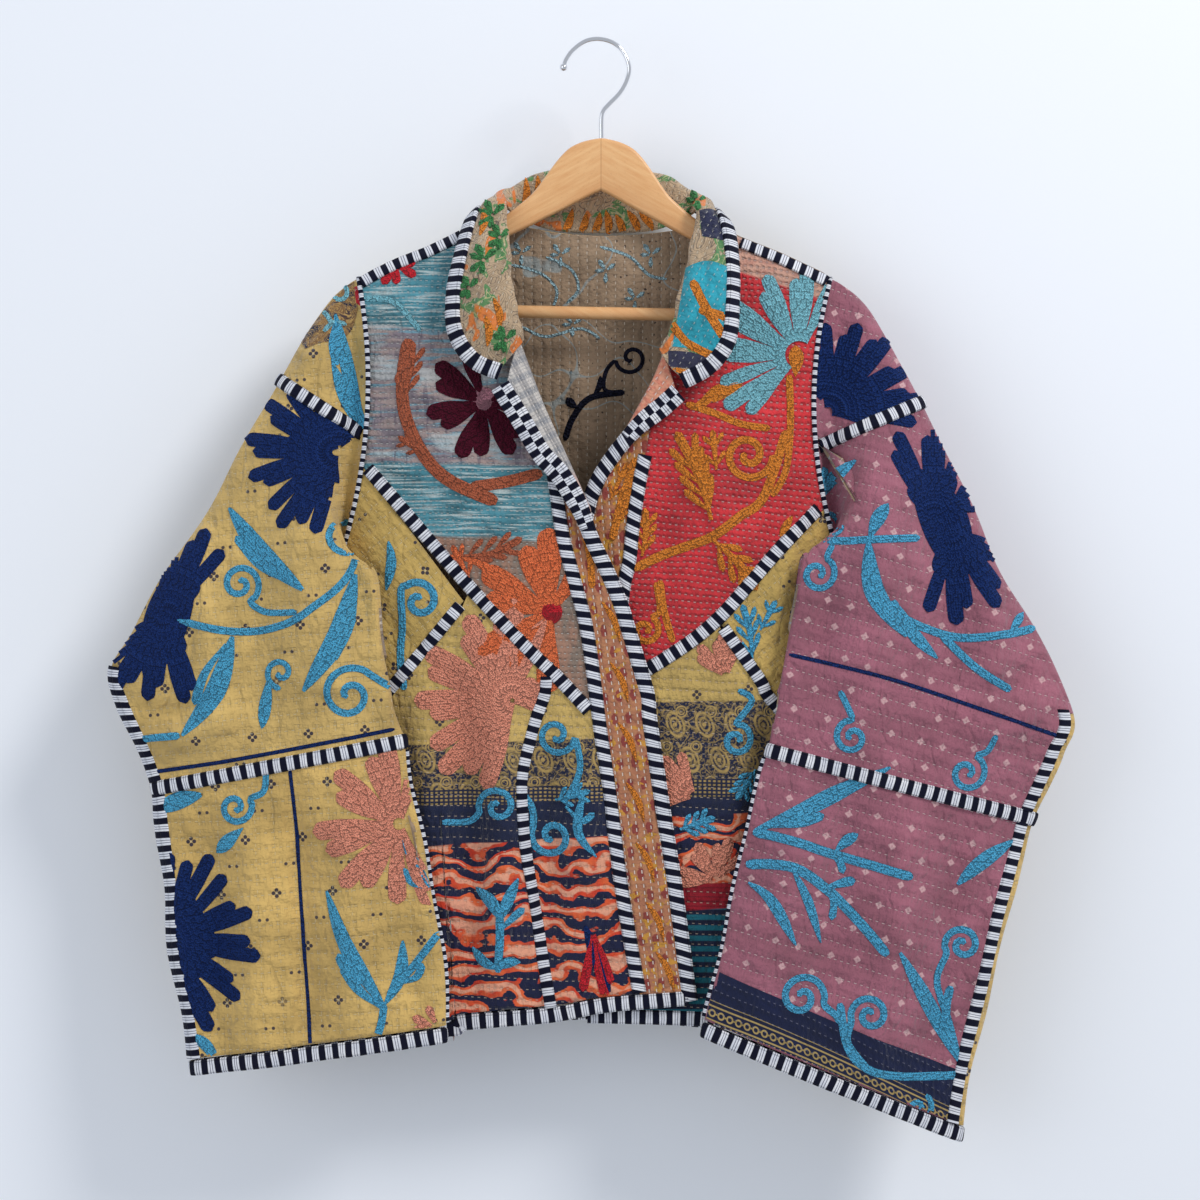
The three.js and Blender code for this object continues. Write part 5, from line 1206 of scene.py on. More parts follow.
    wrap(ELBOW - 0.05, float(S.gap(0.0, LOWER, -SLEEVE_SEAM / 2 + 1)), 80, f"binding_outseam_up_{tag}_v", f"binding_outseam_up_{tag}")
    rim(1.0, float(S.gap(1.0, LOWER, SLEEVE_SEAM / 2)), float(S.gap(1.0, CUFF, -EDGE + 1)), 120, f"piping_inseam_{tag}_v", 4.0, 2.2, M["piping"], f"piping_inseam_{tag}")


sleeve(SL, M["ochre"], M["ochre_low"], M["ochre_low"])
sleeve(SR, M["mauve"], M["mauve"], M["ochre_low"])


# ---------------------------------------------------------------- collar
def collar_at(u, s):
    r = blend(COLLAR, s)
    i = np.clip(np.floor(u), 0, 2).astype(int)
    f = u - i
    out = []
    for k in "xyz":
        q = np.stack([r[c + k] for c in "srme"], 0)
        pick = lambda j: np.take_along_axis(q, j[None], 0)[0]
        out.append(cr(pick(np.maximum(i - 1, 0)), pick(i), pick(i + 1), pick(np.minimum(i + 2, 3)), f))
    return np.stack(out, -1)


CN = len(COLLAR["sx"])
CU, CS = np.meshgrid(np.linspace(0, 3, 40), np.linspace(0, CN - 1, 240), indexing="ij")


def collar_surface():
    P = collar_at(CU, CS)
    if not FLAT["on"]:
        n = grid_normals(P) * -1
        w = (0.9 * np.sin(CS * 1.9 + CU * 0.8) + 0.8 * np.sin(CS * 3.7 - CU * 1.3 + 1) + 0.5 * np.sin(CS * 7.1 + CU * 2)) * sm(0, 1, CU) * sm(3.05, 2.4, CU)
        # soft creases that run down the fall on each side, uneven
        for u0, s0, s1, wide, deep in ((1.55, 0.5, 5.5, 0.20, -3.2), (2.25, 1.0, 4.6, 0.22, 2.2), (1.2, 2.4, 6.5, 0.18, 1.8), (1.9, 14.5, 19.0, 0.2, -2.6), (1.4, 15.5, 19.6, 0.18, 1.8), (2.4, 13.5, 17.5, 0.2, -1.4)):
            drift = u0 + 0.18 * np.sin(CS * 1.3 + s0)
            w = w + deep * np.exp(-(((CU - drift) / wide) ** 2)) * sm(s0, s0 + 1, CS) * sm(s1, s1 - 1, CS)
        P = P + n * w[..., None]
    return P


def towards(P):
    n = grid_normals(P) * -1
    return n


shell("collar", collar_surface, towards(collar_at(CU, CS)), [M["collar"], M["under"]])
cs = np.linspace(0, CN - 1, 260)
cp, cq = collar_at(np.full_like(cs, 3.0), cs), collar_at(np.full_like(cs, 2.8), cs)
ce = unit(cp - cq)
ct = unit(np.gradient(cp, axis=0))
cn = unit(np.cross(ce, ct))
cw = unit(np.cross(ct, cn))
cw = cw * np.where((cw * ce).sum(-1, keepdims=True) < 0, -1, 1)
aa = np.linspace(0, 2 * math.pi, 16, endpoint=False)
csec = [(4.6 + math.copysign(abs(math.cos(q)) ** 0.7, math.cos(q)) * 7.2, -1.1 + math.copysign(abs(math.sin(q)) ** 0.7, math.sin(q)) * 2.9) for q in aa[::-1]]
ribbon("binding_collar_v", cp, cn, csec, [M["stripe"]], wdir=cw, node="binding_collar", vlist=[c[0] - 4.6 for c in csec])


# ---------------------------------------------------------------- bindings on the body
def on_body(f, yf, a, b, n):
    x, z = f(np.linspace(a, b, n))
    y = yf(x, z)
    h = 1.0
    nx = (yf(x + h, z) - yf(x - h, z)) / (2 * h)
    nz = (yf(x, z + h) - yf(x, z - h)) / (2 * h)
    s = -1.0 if np.mean(y) < 0 else 1.0
    nrm = unit(np.stack([-nx * s, 0 * x + s, -nz * s], -1))
    return np.stack([x, y, z], -1), nrm


def seam(name, f, yf, a=0.0, b=1.0, n=90, w=SEAM, mat="stripe", o=0.3, h=2.4):
    p, nrm = on_body(f, yf, a, b, n)
    ribbon(name + "_v", p, nrm, pillow(w, o, h), [M[mat]], node=name)


def lowered(f, d):
    return lambda t: (f(t)[0], f(t)[1] + d)


seam("binding_shoulder_l", lowered(shoulder(-206, -120), -6.5), front_c, n=50, w=11)
seam("binding_shoulder_r", lowered(shoulder(193, 119), -6.5), front_c, n=50, w=11)
seam("binding_yoke_l", yoke_l, front_c, 0.01, 0.975, 140, 12)
seam("binding_yoke_r", yoke_r, right_c, 0.01, 0.95, 130, 12)
seam("binding_gore_l", gore_l, front_c, 0.04, 0.97, 70, 11, o=0.6)
seam("binding_gore_r", gore_r, right_c, 0.04, 0.97, 70, 11, o=0.6)
seam("binding_panel_l", panel_l, front_c, 0.02, nearest(panel_l, -44, -828), 140, 10.5)
seam("binding_placket_l", placket_l, front_c, nearest(placket_l, -42, -368), nearest(placket_l, 32, -815), 220, 12, "stripe_slant")
seam("binding_placket_r", placket_r, right_c, nearest(placket_r, 37, -358), nearest(placket_r, 27, -829), 220, 12, "stripe_slant")


def edge_binding(name, f, yf, a, b, n, lift, te, drop):
    t = np.linspace(a, b, n)
    x, z = f(t)
    up = np.where(t < te, lift(1, np.minimum(1, t / te)), lift(1, 1) * sm(te + drop, te, t))
    y = yf(x, z) - up
    p = np.stack([x, y, z], -1)
    nrm = np.broadcast_to(np.array([0, -1.0, 0]), p.shape)
    wide = EDGE + 4.5 * sm(te + 0.02, te - 0.05, t)  # two rows wide along the lapel
    base = np.array(bead(1.0))
    sec = np.broadcast_to(base, (n, len(base), 2)).copy()
    sec[..., 0] *= wide[:, None]
    cut = int(np.searchsorted(t, te + 0.01))
    for tag, sl, mat in (("", slice(0, cut + 1), "stripe_two"), ("_low", slice(cut, n), "stripe_slant")):
        ribbon(name + tag + "_v", p[sl], nrm[sl], sec[sl], [M[mat]], node=name)


edge_binding("binding_edge_l", edge_l, front_c, 0.008, 0.99, 330, LIFT_L, e_l, 0.1)
edge_binding("binding_edge_r", edge_r, right_c, 0.012, 0.99, 300, LIFT_R, e_r, 0.09)


def hem(name, f, yf, a, b, n):
    x, z = f(np.linspace(a, b, n))
    z = z + EDGE / 2
    p, nrm = on_body(lambda t: (x, z), yf, 0, 1, n)
    ribbon(name + "_v", p, nrm, bead(EDGE), [M["stripe"]], node=name)


hem("binding_hem_l", hem_l, front_c, 0.006, nearest(hem_l, 74, -827), 170)
hem("binding_hem_r", hem_r, right_c, nearest(hem_r, -12, -842), 0.994, 140)
hem("binding_hem_back", hem_b, back_c, 0.006, 0.994, 260)

# ---------------------------------------------------------------- hanger
ARM = tab(["x", "top", "low"], [0, -83, -128], [16, -86.5, -136.5], [28, -92, -143], [38, -103, -148.5], [49, -119, -154], [58, -132, -159], [76, -147.5, -168],
          [88, -155.5, -174], [100, -165, -181], [127, -179, -197], [160, -195, -214], [184, -207, -228], [184.6, -207.4, -244], [193, -213, -247], [200, -220, -247], [205, -231, -240])


def tilted(P):
    x, z = P[..., 0], P[..., 2] + 100
    c, s = math.cos(TILT), math.sin(TILT)
    return np.stack([x * c + z * s, P[..., 1], -x * s + z * c - 100], -1)


xs = np.concatenate([np.linspace(0, 183.9, 70), np.linspace(184.7, 204.9, 12)])
xs = np.concatenate([-xs[::-1], xs[1:]])
top = np.interp(np.abs(xs), ARM["x"], ARM["top"])
low = np.interp(np.abs(xs), ARM["x"], ARM["low"])
k3 = np.array([0.25, 0.5, 0.25])
mid = slice(20, -20)
for arr in (top, low):
    for _ in range(3):
        arr[mid] = np.convolve(arr, k3, "same")[mid]
low[np.abs(xs) < 1] = np.interp(0, [0], [-128.5])
rows = []
for x, a, b in zip(xs, top, low):
    hh, r = (a - b) / 2, 3.6
    ang = np.linspace(0, 2 * math.pi, 28, endpoint=False)
    cy, cz = np.cos(ang), np.sin(ang)
    r = min(r, hh * 0.9)
    rows.append(np.stack([np.full(28, x), np.sign(cy) * (6 - r) + cy * r, (a + b) / 2 + np.sign(cz) * (hh - r) + cz * r], -1))
R = tilted(np.array(rows))
nx = len(xs)
faces = [(i * 28 + j, i * 28 + (j + 1) % 28, (i + 1) * 28 + (j + 1) % 28, (i + 1) * 28 + j) for i in range(nx - 1) for j in range(28)]
faces += [tuple(range(28))[::-1], tuple((nx - 1) * 28 + j for j in range(28))]
hb = make("hanger_body_v", R.reshape(-1, 3), faces, R.reshape(-1, 3)[:, [0, 2]], [M["wood"]])
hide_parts("hanger_body")


def tube(name, P, r, mat, node, n=20):
    nrm = np.broadcast_to(np.array([0, 1.0, 0]), P.shape)
    a = np.linspace(0, 2 * math.pi, n, endpoint=False)
    return ribbon(name, P, nrm, [(math.cos(q) * r, math.sin(q) * r) for q in a], [mat], node=node)


bx = np.linspace(-183.6, 183.6, 60)
bar = tube("hanger_bar_v", tilted(np.stack([bx, 0 * bx, 0 * bx - 234], -1)), 5.5, M["wood"], "hanger_bar")
HOOK = tab("xz", [-32.7, -22.1], [-30.5, -15.5], [-24.5, -7.2], [-14, 0.3], [-2.5, 2.3], [9.8, -0.9], [19.1, -9.4], [23.8, -22.1], [21.7, -33.5], [15.7, -44.2], [5.8, -54.5], [1.4, -60], [0, -67], [0, -84], [0, -96])
hx, hz = line(HOOK)(np.linspace(0, 1, 140))
tube("hook_v", np.stack([hx, 0 * hx, hz], -1), 2.0, M["chrome"], "hook", 24)
u_, v_ = np.meshgrid(np.linspace(0, 2 * math.pi, 25)[:-1], np.linspace(0, math.pi, 13), indexing="ij")
S_ = np.stack([HOOK["x"][0] + 3.4 * np.cos(u_) * np.sin(v_), 3.4 * np.sin(u_) * np.sin(v_), HOOK["z"][0] + 3.4 * np.cos(v_)], -1)
make("hook_ball", S_.reshape(-1, 3), grid_faces(24, 13, closed=True), S_.reshape(-1, 3)[:, [0, 2]], [M["chrome"]])

# ---------------------------------------------------------------- embroidery
T = dict(navy=mat_thread("thread_navy", (17, 42, 98), glow=0.0), blue=mat_thread("thread_blue", (76, 166, 206)), coral=mat_thread("thread_coral", (232, 146, 120)),
         rust=mat_thread("thread_rust", (176, 92, 62)), maroon=mat_thread("thread_maroon", (72, 8, 30), glow=0.0), orange=mat_thread("thread_orange", (234, 112, 66)),
         amber=mat_thread("thread_amber", (220, 130, 44)), red=mat_thread("thread_red", (200, 30, 44)), pink=mat_thread("thread_pink", (176, 118, 132)),
         green=mat_thread("thread_green", (60, 128, 72)), pale=mat_thread("thread_pale", (156, 190, 200)), black=mat_thread("thread_black", (24, 26, 44), glow=0.0),
         cream=mat_thread("thread_cream", (214, 176, 120)), sky=mat_thread("thread_sky", (122, 186, 200)))


def tree(*names):
    V, F = [], []
    for n in names:
        me = CLOTHS[n].data
        o = len(V)
        V += [v.co[:] for v in me.vertices]
        F += [tuple(o + k for k in p.vertices) for p in me.polygons]
    return BVHTree.FromPolygons([Vector(v) for v in V], F)


GROUND = dict(sl=tree("sleeve_l_cap", "sleeve_l_upper", "sleeve_l_lower_front"), sr=tree("sleeve_r_cap", "sleeve_r_upper", "sleeve_r_lower_front"),
              fl=tree("front_l_yoke", "front_l_gore", "front_l_side", "front_l_centre"), fr=tree("front_r_yoke", "front_r_gore", "front_r_lower"),
              pl=tree("front_l_placket"), pr=tree("front_r_placket"), co=tree("collar"), ll=tree("lapel_l"), lr=tree("lapel_r"), ba=tree("back"))
BATCH = {}


CUTOFF = {"line": None}  # motifs stop at this line (px): nothing is laid above it


def lay(ground, mat, P2, UV, H):
    """A grid of places (mm) laid on the cloth; rows of quads that miss it are dropped."""
    tr = GROUND[ground]
    nu, nv = P2.shape[:2]
    V = np.zeros((nu, nv, 3))
    ok = np.zeros((nu, nv), bool)
    for i in range(nu):
        for j in range(nv):
            x, z = P2[i, j]
            if CUTOFF["line"] is not None:
                ax, ay, bx, by = CUTOFF["line"]
                if (z - float(Z(ay))) * (float(X(bx)) - float(X(ax))) - (x - float(X(ax))) * (float(Z(by)) - float(Z(ay))) > 0:
                    continue
            hit, nrm, _, _ = tr.ray_cast(Vector((x * 0.001, -0.3, z * 0.001)), Vector((0, 1, 0)))
            if hit is not None:
                if nrm.y > 0:
                    nrm = -nrm
                if nrm.y < -0.12:
                    q = hit + nrm * (H[i, j] * 0.001)
                    V[i, j] = (q.x * 1000, q.y * 1000, q.z * 1000)
                    ok[i, j] = True
    b = BATCH.setdefault((ground, mat), [[], [], []])
    o = len(b[0])
    b[0].extend(V.reshape(-1, 3).tolist())
    b[2].extend(UV.reshape(-1, 2).tolist())
    for i in range(nu - 1):
        for j in range(nv - 1):
            if ok[i, j] and ok[i + 1, j] and ok[i, j + 1] and ok[i + 1, j + 1]:
                ys = (V[i, j, 1], V[i + 1, j, 1], V[i, j + 1, 1], V[i + 1, j + 1, 1])
                if max(ys) - min(ys) < 9:
                    b[1].append((o + i * nv + j, o + i * nv + j + 1, o + (i + 1) * nv + j + 1, o + (i + 1) * nv + j))


def smooth_path(pts, n):
    p = np.array(pts, float)
    if len(p) == 2:
        u = np.linspace(0, 1, n)[:, None]
        return p[0] * (1 - u) + p[1] * u
    r = blend({"x": p[:, 0], "z": p[:, 1]}, np.linspace(0, len(p) - 1, n * 3))
    q = np.stack([r["x"], r["z"]], -1)
    d = np.concatenate([[0], np.cumsum(np.linalg.norm(np.diff(q, axis=0), axis=1))])
    u = np.linspace(0, d[-1], n)
    return np.stack([np.interp(u, d, q[:, 0]), np.interp(u, d, q[:, 1])], -1)


def stroke(ground, mat, pts, width, shape="vine", high=1.1, across=5):
    """pts in px; width in mm, or for each share of the length."""
    P = np.array([(float(X(a)), float(Z(b))) for a, b in pts])
    L = np.linalg.norm(np.diff(P, axis=0), axis=1).sum()
    n = max(4, int(L / 3.0) + 2)
    C = smooth_path(P, n)
    t = np.linspace(0, 1, n)
    if shape == "vine":
        w = width * np.minimum(1, np.minimum(t, 1 - t) * L / width * 1.6 + 0.25) ** 0.5
    elif shape == "leaf":
        w = width * np.sin(np.pi * np.clip(0.04 + t * 0.93, 0, 1)) ** 0.8
    elif shape == "petal":
        grow = 0.42 + 0.58 * sm(0, 0.7, t)
        tip = np.sqrt(np.clip(1 - ((t - 1 + width * 0.5 / L) / (width * 0.5 / L)).clip(0) ** 2, 0.02, 1))
        w = width * grow * tip
    elif shape == "drop":
        w = width * np.sin(np.pi * np.clip(t * 0.98 + 0.02, 0, 1) ** 1.5) ** 0.7
    else:
        w = width * np.ones_like(t)
    d = unit(np.gradient(C, axis=0))
    side = np.stack([-d[:, 1], d[:, 0]], -1)
    v = np.linspace(-1, 1, across)
    P2 = C[:, None] + side[:, None] * (v[None, :, None] * w[:, None, None] / 2)
    s = np.concatenate([[0], np.cumsum(np.linalg.norm(np.diff(C, axis=0), axis=1))])
    UV = np.stack([np.broadcast_to(s[:, None], (n, across)), v[None] * w[:, None] / 2 + 0 * s[:, None]], -1)
    H = high * np.sqrt(np.clip(1 - v[None] ** 2 * 0.93, 0, 1)) * np.ones((n, 1)) + 0.15
    lay(ground, mat, P2, UV, H)


def fan(ground, mat, cx, cy, a0, a1, n, r, w, r0=8, jitter=(0.0, 0.12, -0.08, 0.05, -0.14, 0.1, -0.03, 0.07, -0.1, 0.02, 0.12, -0.06), bend=6.0, high=1.3, core=False):
    """Petals from one base: angles in degrees, 0 to the right and 90 up; r in px, w in mm."""
    for i in range(n):
        k = jitter[i % len(jitter)]
        a = math.radians(a0 + (a1 - a0) * (i + 0.5 + k * 1.2) / n)
        rr = r * (1 + k * 0.9)
        b = a + math.radians(bend * (1 if i % 2 else -1) + k * 30)
        p0 = (cx + math.cos(a) * r0, cy - math.sin(a) * r0)
        p1 = (cx + math.cos(a) * rr * 0.55, cy - math.sin(a) * rr * 0.55)
        p2 = (cx + math.cos(b) * rr * 0.2 + math.cos(a) * rr * 0.8, cy - math.sin(b) * rr * 0.2 - math.sin(a) * rr * 0.8)
        stroke(ground, mat, [p0, p1, p2], w * (1 + k * 0.6), "petal", high + 0.1 * (i % 3))
        if core:
            stroke(ground, mat, [p0, p1], w * 1.45, "petal", high - 0.25)


def disc(ground, mat, cx, cy, r, high=1.6):
    n, m = 5, 20
    C = np.array([float(X(cx)), float(Z(cy))])
    rr = np.linspace(0.02, r * PX, n)
    a = np.linspace(0, 2 * math.pi, m)
    P2 = C + np.stack([rr[:, None] * np.cos(a), rr[:, None] * np.sin(a)], -1)
    UV = np.stack([rr[:, None] + 0 * a, rr[:, None] * a[None]], -1)
    H = high * np.sqrt(np.clip(1 - (rr / (r * PX)) ** 2 * 0.9, 0, 1))[:, None] * np.ones((1, m)) + 0.2
    lay(ground, mat, P2, UV, H)


def spiral(ground, mat, cx, cy, r, start, turns=1.6, hand=1, w=5.5, tail=()):
    """From its eye outwards; start is the outer end's angle."""
    a = np.linspace(0, 1, 26)
    ang = math.radians(start) - hand * (1 - a) * turns * 2 * math.pi
    rad = r * (0.12 + 0.88 * a)
    pts = [(cx + math.cos(q) * k, cy - math.sin(q) * k) for q, k in zip(ang, rad)]
    stroke(ground, mat, pts + list(tail), w)


def leaf(ground, mat, x0, y0, x1, y1, w, bend=0.0, lobes=3):
    """A feathery leaf: a blade with side lobes that leave its rib."""
    dx, dy = x1 - x0, y1 - y0
    mx, my = (x0 + x1) / 2 - dy * bend, (y0 + y1) / 2 + dx * bend
    stroke(ground, mat, [(x0, y0), (mx, my), (x1, y1)], w * 0.42, "petal", 1.4)
    for i in range(lobes):
        t = 0.16 + 0.46 * i / max(1, lobes - 1)
        bx = (1 - t) ** 2 * x0 + 2 * t * (1 - t) * mx + t * t * x1
        by = (1 - t) ** 2 * y0 + 2 * t * (1 - t) * my + t * t * y1
        ln = math.hypot(dx, dy)
        for s in (1, -1):
            go = ln * (0.30 if s > 0 else 0.24)
            ex = bx + dx / ln * go - s * dy / ln * w * 0.78
            ey = by + dy / ln * go + s * dx / ln * w * 0.78
            cx, cy = bx + dx / ln * go * 0.5 - s * dy / ln * w * 0.5, by + dy / ln * go * 0.5 + s * dx / ln * w * 0.5
            stroke(ground, mat, [(bx - dx * 0.06, by - dy * 0.06), (cx, cy), (ex, ey)], w * 0.32, "petal", 1.2 - 0.1 * i)


# left sleeve
CUTOFF["line"] = (276, 384, 361, 437)
fan("sl", "navy", 334, 452, 96, 266, 13, 84, 11.5, 3, core=True)
fan("sl", "navy", 338, 446, 40, 110, 4, 32, 10, 1, bend=0)
CUTOFF["line"] = None
fan("sl", "navy", 168, 618, 46, 104, 5, 88, 12, 2, core=True)
fan("sl", "navy", 164, 614, 214, 300, 7, 84, 12, 2, core=True)
stroke("sl", "navy", [(190, 556), (168, 616), (148, 680)], 40, "leaf", 1.2, 13)
fan("sl", "navy", 166, 942, -88, 96, 13, 90, 11.5, 4, core=True)
fan("sl", "coral", 400, 822, 62, 300, 11, 78, 15, 6)
fan("sl", "coral", 440, 1026, 100, 260, 5, 26, 7)
stroke("sl", "blue", [(333, 312), (342, 350), (352, 392), (362, 428)], 12, "leaf")
stroke("sl", "blue", [(330, 358), (338, 380), (350, 404), (364, 428)], 15, "drop")
stroke("sl", "blue", [(334, 316), (331, 342), (336, 364)], 7, "petal")
stroke("sl", "blue", [(306, 590), (262, 552), (229, 508)], 17, "leaf", 1.3)
stroke("sl", "blue", [(296, 584), (262, 566), (236, 536)], 8, "petal", 1.1)
stroke("sl", "blue", [(234, 636), (218, 690), (184, 735)], 17, "leaf", 1.2)
stroke("sl", "blue", [(228, 644), (208, 672), (196, 704)], 8, "petal", 1.2)
stroke("sl", "blue", [(357, 574), (340, 636), (306, 690)], 18, "leaf", 1.3)
stroke("sl", "blue", [(356, 586), (352, 622), (334, 660)], 9, "petal", 1.1)
stroke("sl", "blue", [(178, 620), (231, 631), (274, 628), (312, 610), (356, 562), (367, 455)], 6.5)
stroke("sl", "blue", [(182, 735), (150, 738), (128, 742)], 6)
spiral("sl", "blue", 241, 584, 21, -60, 1.5, -1, 5.5, [(268, 612), (300, 612)])
spiral("sl", "blue", 346, 534, 23, 20, 1.5, 1, 5.5, [(366, 500)])
spiral("sl", "blue", 283, 672, 16, -90, 1.3, 1, 5)
stroke("sl", "blue", [(272, 672), (268, 700), (264, 728)], 11, "drop")
spiral("sl", "blue", 352, 694, 29, 40, 1.5, -1, 6, [(392, 686), (404, 690)])
spiral("sl", "blue", 237, 806, 18, 30, 1.4, 1, 5.5, [(266, 790), (268, 770)])
stroke("sl", "blue", [(246, 826), (232, 838), (218, 852)], 12, "drop")
stroke("sl", "blue", [(203, 794), (180, 800), (152, 812)], 15, "leaf", 1.2)
stroke("sl", "blue", [(430, 885), (416, 862), (404, 838)], 10, "leaf", 1.2)
stroke("sl", "blue", [(424, 886), (412, 880), (405, 866)], 6, "petal", 1.2)
stroke("sl", "blue", [(386, 1003), (350, 944), (329, 888)], 13, "leaf", 1.2)
stroke("sl", "blue", [(374, 982), (352, 968), (341, 950)], 9, "petal", 1.2)
stroke("sl", "blue", [(387, 1000), (402, 972), (404, 938)], 11, "leaf", 1.2)
stroke("sl", "blue", [(390, 992), (416, 962), (440, 930)], 6.5, "vine", 1.2)
stroke("sl", "blue", [(402, 980), (418, 974), (424, 960)], 7, "petal", 1.2)
stroke("sl", "blue", [(384, 1004), (362, 986), (345, 962)], 9, "petal", 1.2)
stroke("sl", "blue", [(386, 1000), (382, 1024), (371, 1052)], 6.5)
stroke("sl", "blue", [(188, 1034), (204, 1042), (220, 1062)], 10, "leaf", 1.2)
# right sleeve
fan("sr", "navy", 830, 410, -12, 96, 10, 88, 11.5, 4, core=True)
fan("sr", "navy", 826, 400, 60, 150, 5, 50, 10, 4)
fan("sr", "navy", 934, 520, 62, 132, 5, 92, 12, 4, core=True)
fan("sr", "navy", 950, 512, 4, 66, 3, 46, 12, 2)
stroke("sr", "navy", [(914, 470), (944, 520), (962, 580)], 42, "leaf", 1.2, 13)
fan("sr", "navy", 952, 530, 246, 336, 6, 86, 12.5, 4, core=True)
stroke("sr", "blue", [(818, 500), (834, 478), (856, 460)], 11, "leaf", 1.2)
stroke("sr", "blue", [(822, 486), (826, 474), (824, 466)], 7, "petal", 1.2)
spiral("sr", "blue", 830, 526, 13, 100, 1.3, 1, 5)
spiral("sr", "blue", 816, 574, 19, 60, 1.4, 1, 5.5, [(832, 544)])
stroke("sr", "blue", [(806, 536), (836, 541), (868, 540), (918, 538)], 6.5)
stroke("sr", "blue", [(866, 542), (874, 522), (886, 504)], 12, "drop")
stroke("sr", "blue", [(866, 542), (872, 592), (904, 636)], 17, "leaf", 1.3)
stroke("sr", "blue", [(890, 600), (904, 619), (955, 637), (1006, 634), (1036, 628)], 7)
stroke("sr", "blue", [(940, 634), (975, 668), (1010, 690)], 7)
stroke("sr", "blue", [(1008, 634), (1016, 624), (1024, 612)], 8, "drop", 1.2)
stroke("sr", "blue", [(896, 606), (912, 634), (936, 658)], 11, "leaf", 1.2)
spiral("sr", "blue", 850, 736, 18, 90, 1.4, -1, 5.5, [(845, 705), (838, 690)])
spiral("sr", "blue", 965, 772, 20, 60, 1.4, 1, 5.5, [(986, 750), (994, 734)])
stroke("sr", "blue", [(754, 828), (788, 814), (846, 786), (888, 766)], 14, "leaf", 1.2)
stroke("sr", "blue", [(770, 824), (800, 820), (822, 813)], 8, "petal", 1.2)
stroke("sr", "blue", [(752, 830), (790, 838), (833, 853), (872, 864), (910, 875)], 8)
stroke("sr", "blue", [(832, 852), (842, 842), (857, 832)], 10, "drop", 1.2)
stroke("sr", "blue", [(828, 850), (838, 860), (842, 872)], 7, "petal", 1.2)
stroke("sr", "blue", [(745, 862), (790, 864), (826, 888), (858, 920), (885, 952)], 8.5)
stroke("sr", "blue", [(747, 880), (770, 898), (794, 942)], 10, "leaf", 1.2)
stroke("sr", "blue", [(790, 866), (806, 898), (819, 940)], 8, "leaf", 1.2)
stroke("sr", "blue", [(822, 886), (838, 882), (854, 878)], 8, "petal", 1.2)
stroke("sr", "blue", [(828, 892), (832, 904), (830, 918)], 7, "petal", 1.2)
stroke("sr", "blue", [(957, 884), (980, 862), (1014, 840)], 13, "leaf", 1.2)
spiral("sr", "blue", 800, 994, 24, -20, 1.5, -1, 6, [(834, 1012), (838, 1020)])
spiral("sr", "blue", 868, 1012, 20, 200, 1.5, 1, 6, [(846, 1040), (866, 1066)])
spiral("sr", "blue", 962, 944, 19, 210, 1.5, 1, 6, [(936, 980), (948, 1020), (958, 1060)])
stroke("sr", "blue", [(838, 1000), (846, 1044), (866, 1066), (900, 1074), (962, 1074)], 7)
stroke("sr", "blue", [(897, 949), (926, 1000), (962, 1066)], 13, "leaf", 1.2)
stroke("sr", "blue", [(946, 1030), (946, 1004), (950, 985)], 7, "vine", 1.2)
spiral("sr", "blue", 917, 1106, 15, 60, 1.3, 1, 5)
# left front
stroke("fl", "rust", [(408, 338), (402, 380), (406, 418), (426, 458), (452, 482), (497, 502)], 11)
stroke("fl", "rust", [(470, 488), (505, 482), (542, 473)], 10)
leaf("fl", "rust", 402, 400, 412, 340, 15, 0.05, 3)
leaf("fl", "rust", 420, 452, 398, 436, 12, 0, 2)
leaf("fl", "rust", 462, 556, 522, 538, 15, 0.1, 3)
fan("fl", "maroon", 484, 402, 96, 388, 11, 56, 13.5, 8)
disc("fl", "pink", 484, 399, 12)
fan("fl", "orange", 550, 612, 40, 280, 8, 76, 19, 8)
disc("fl", "red", 550, 612, 12.5)
leaf("fl", "orange", 470, 580, 452, 545, 13, 0, 2)
stroke("fl", "orange", [(452, 556), (478, 562), (500, 580)], 8, "petal")
spiral("fl", "blue", 419, 601, 21, 150, 1.3, 1, 6.5, [(402, 625), (400, 655), (404, 690)])
stroke("fl", "blue", [(388, 541), (391, 562), (386, 590)], 9, "leaf")
fan("fl", "coral", 512, 700, 62, 262, 13, 92, 15.5, 2)
fan("fl", "coral", 512, 700, -24, 60, 3, 34, 12, 2)
spiral("fl", "blue", 556, 735, 20, -10, 1.4, 1, 5.5, [(580, 770), (566, 800)])
leaf("fl", "blue", 556, 800, 590, 790, 13, 0, 2)
spiral("fl", "blue", 552, 836, 22, 150, 1.4, -1, 6, [(532, 808), (520, 790)])
stroke("fl", "blue", [(584, 790), (578, 830), (596, 856)], 8, "leaf", 1.2)
stroke("fl", "blue", [(566, 806), (582, 820), (594, 812)], 6, "petal", 1.2)
spiral("fl", "blue", 498, 806, 20, 200, 1.4, 1, 5.5, [(468, 822), (442, 822)])
stroke("fl", "blue", [(498, 972), (500, 940), (500, 914)], 7)
stroke("fl", "blue", [(500, 918), (492, 902), (476, 888)], 11, "leaf", 1.2)
stroke("fl", "blue", [(500, 920), (508, 900), (518, 878)], 10, "leaf", 1.2)
stroke("fl", "blue", [(500, 930), (514, 916), (524, 908)], 7, "petal", 1.2)
stroke("fl", "blue", [(498, 968), (484, 962), (472, 948)], 9, "leaf", 1.2)
stroke("fl", "blue", [(498, 968), (508, 962), (520, 962)], 9, "leaf", 1.2)
fan("fl", "red", 592, 930, 255, 300, 3, 62, 8, 4)
stroke("fl", "navy", [(585, 925), (596, 955), (610, 992)], 12, "leaf")
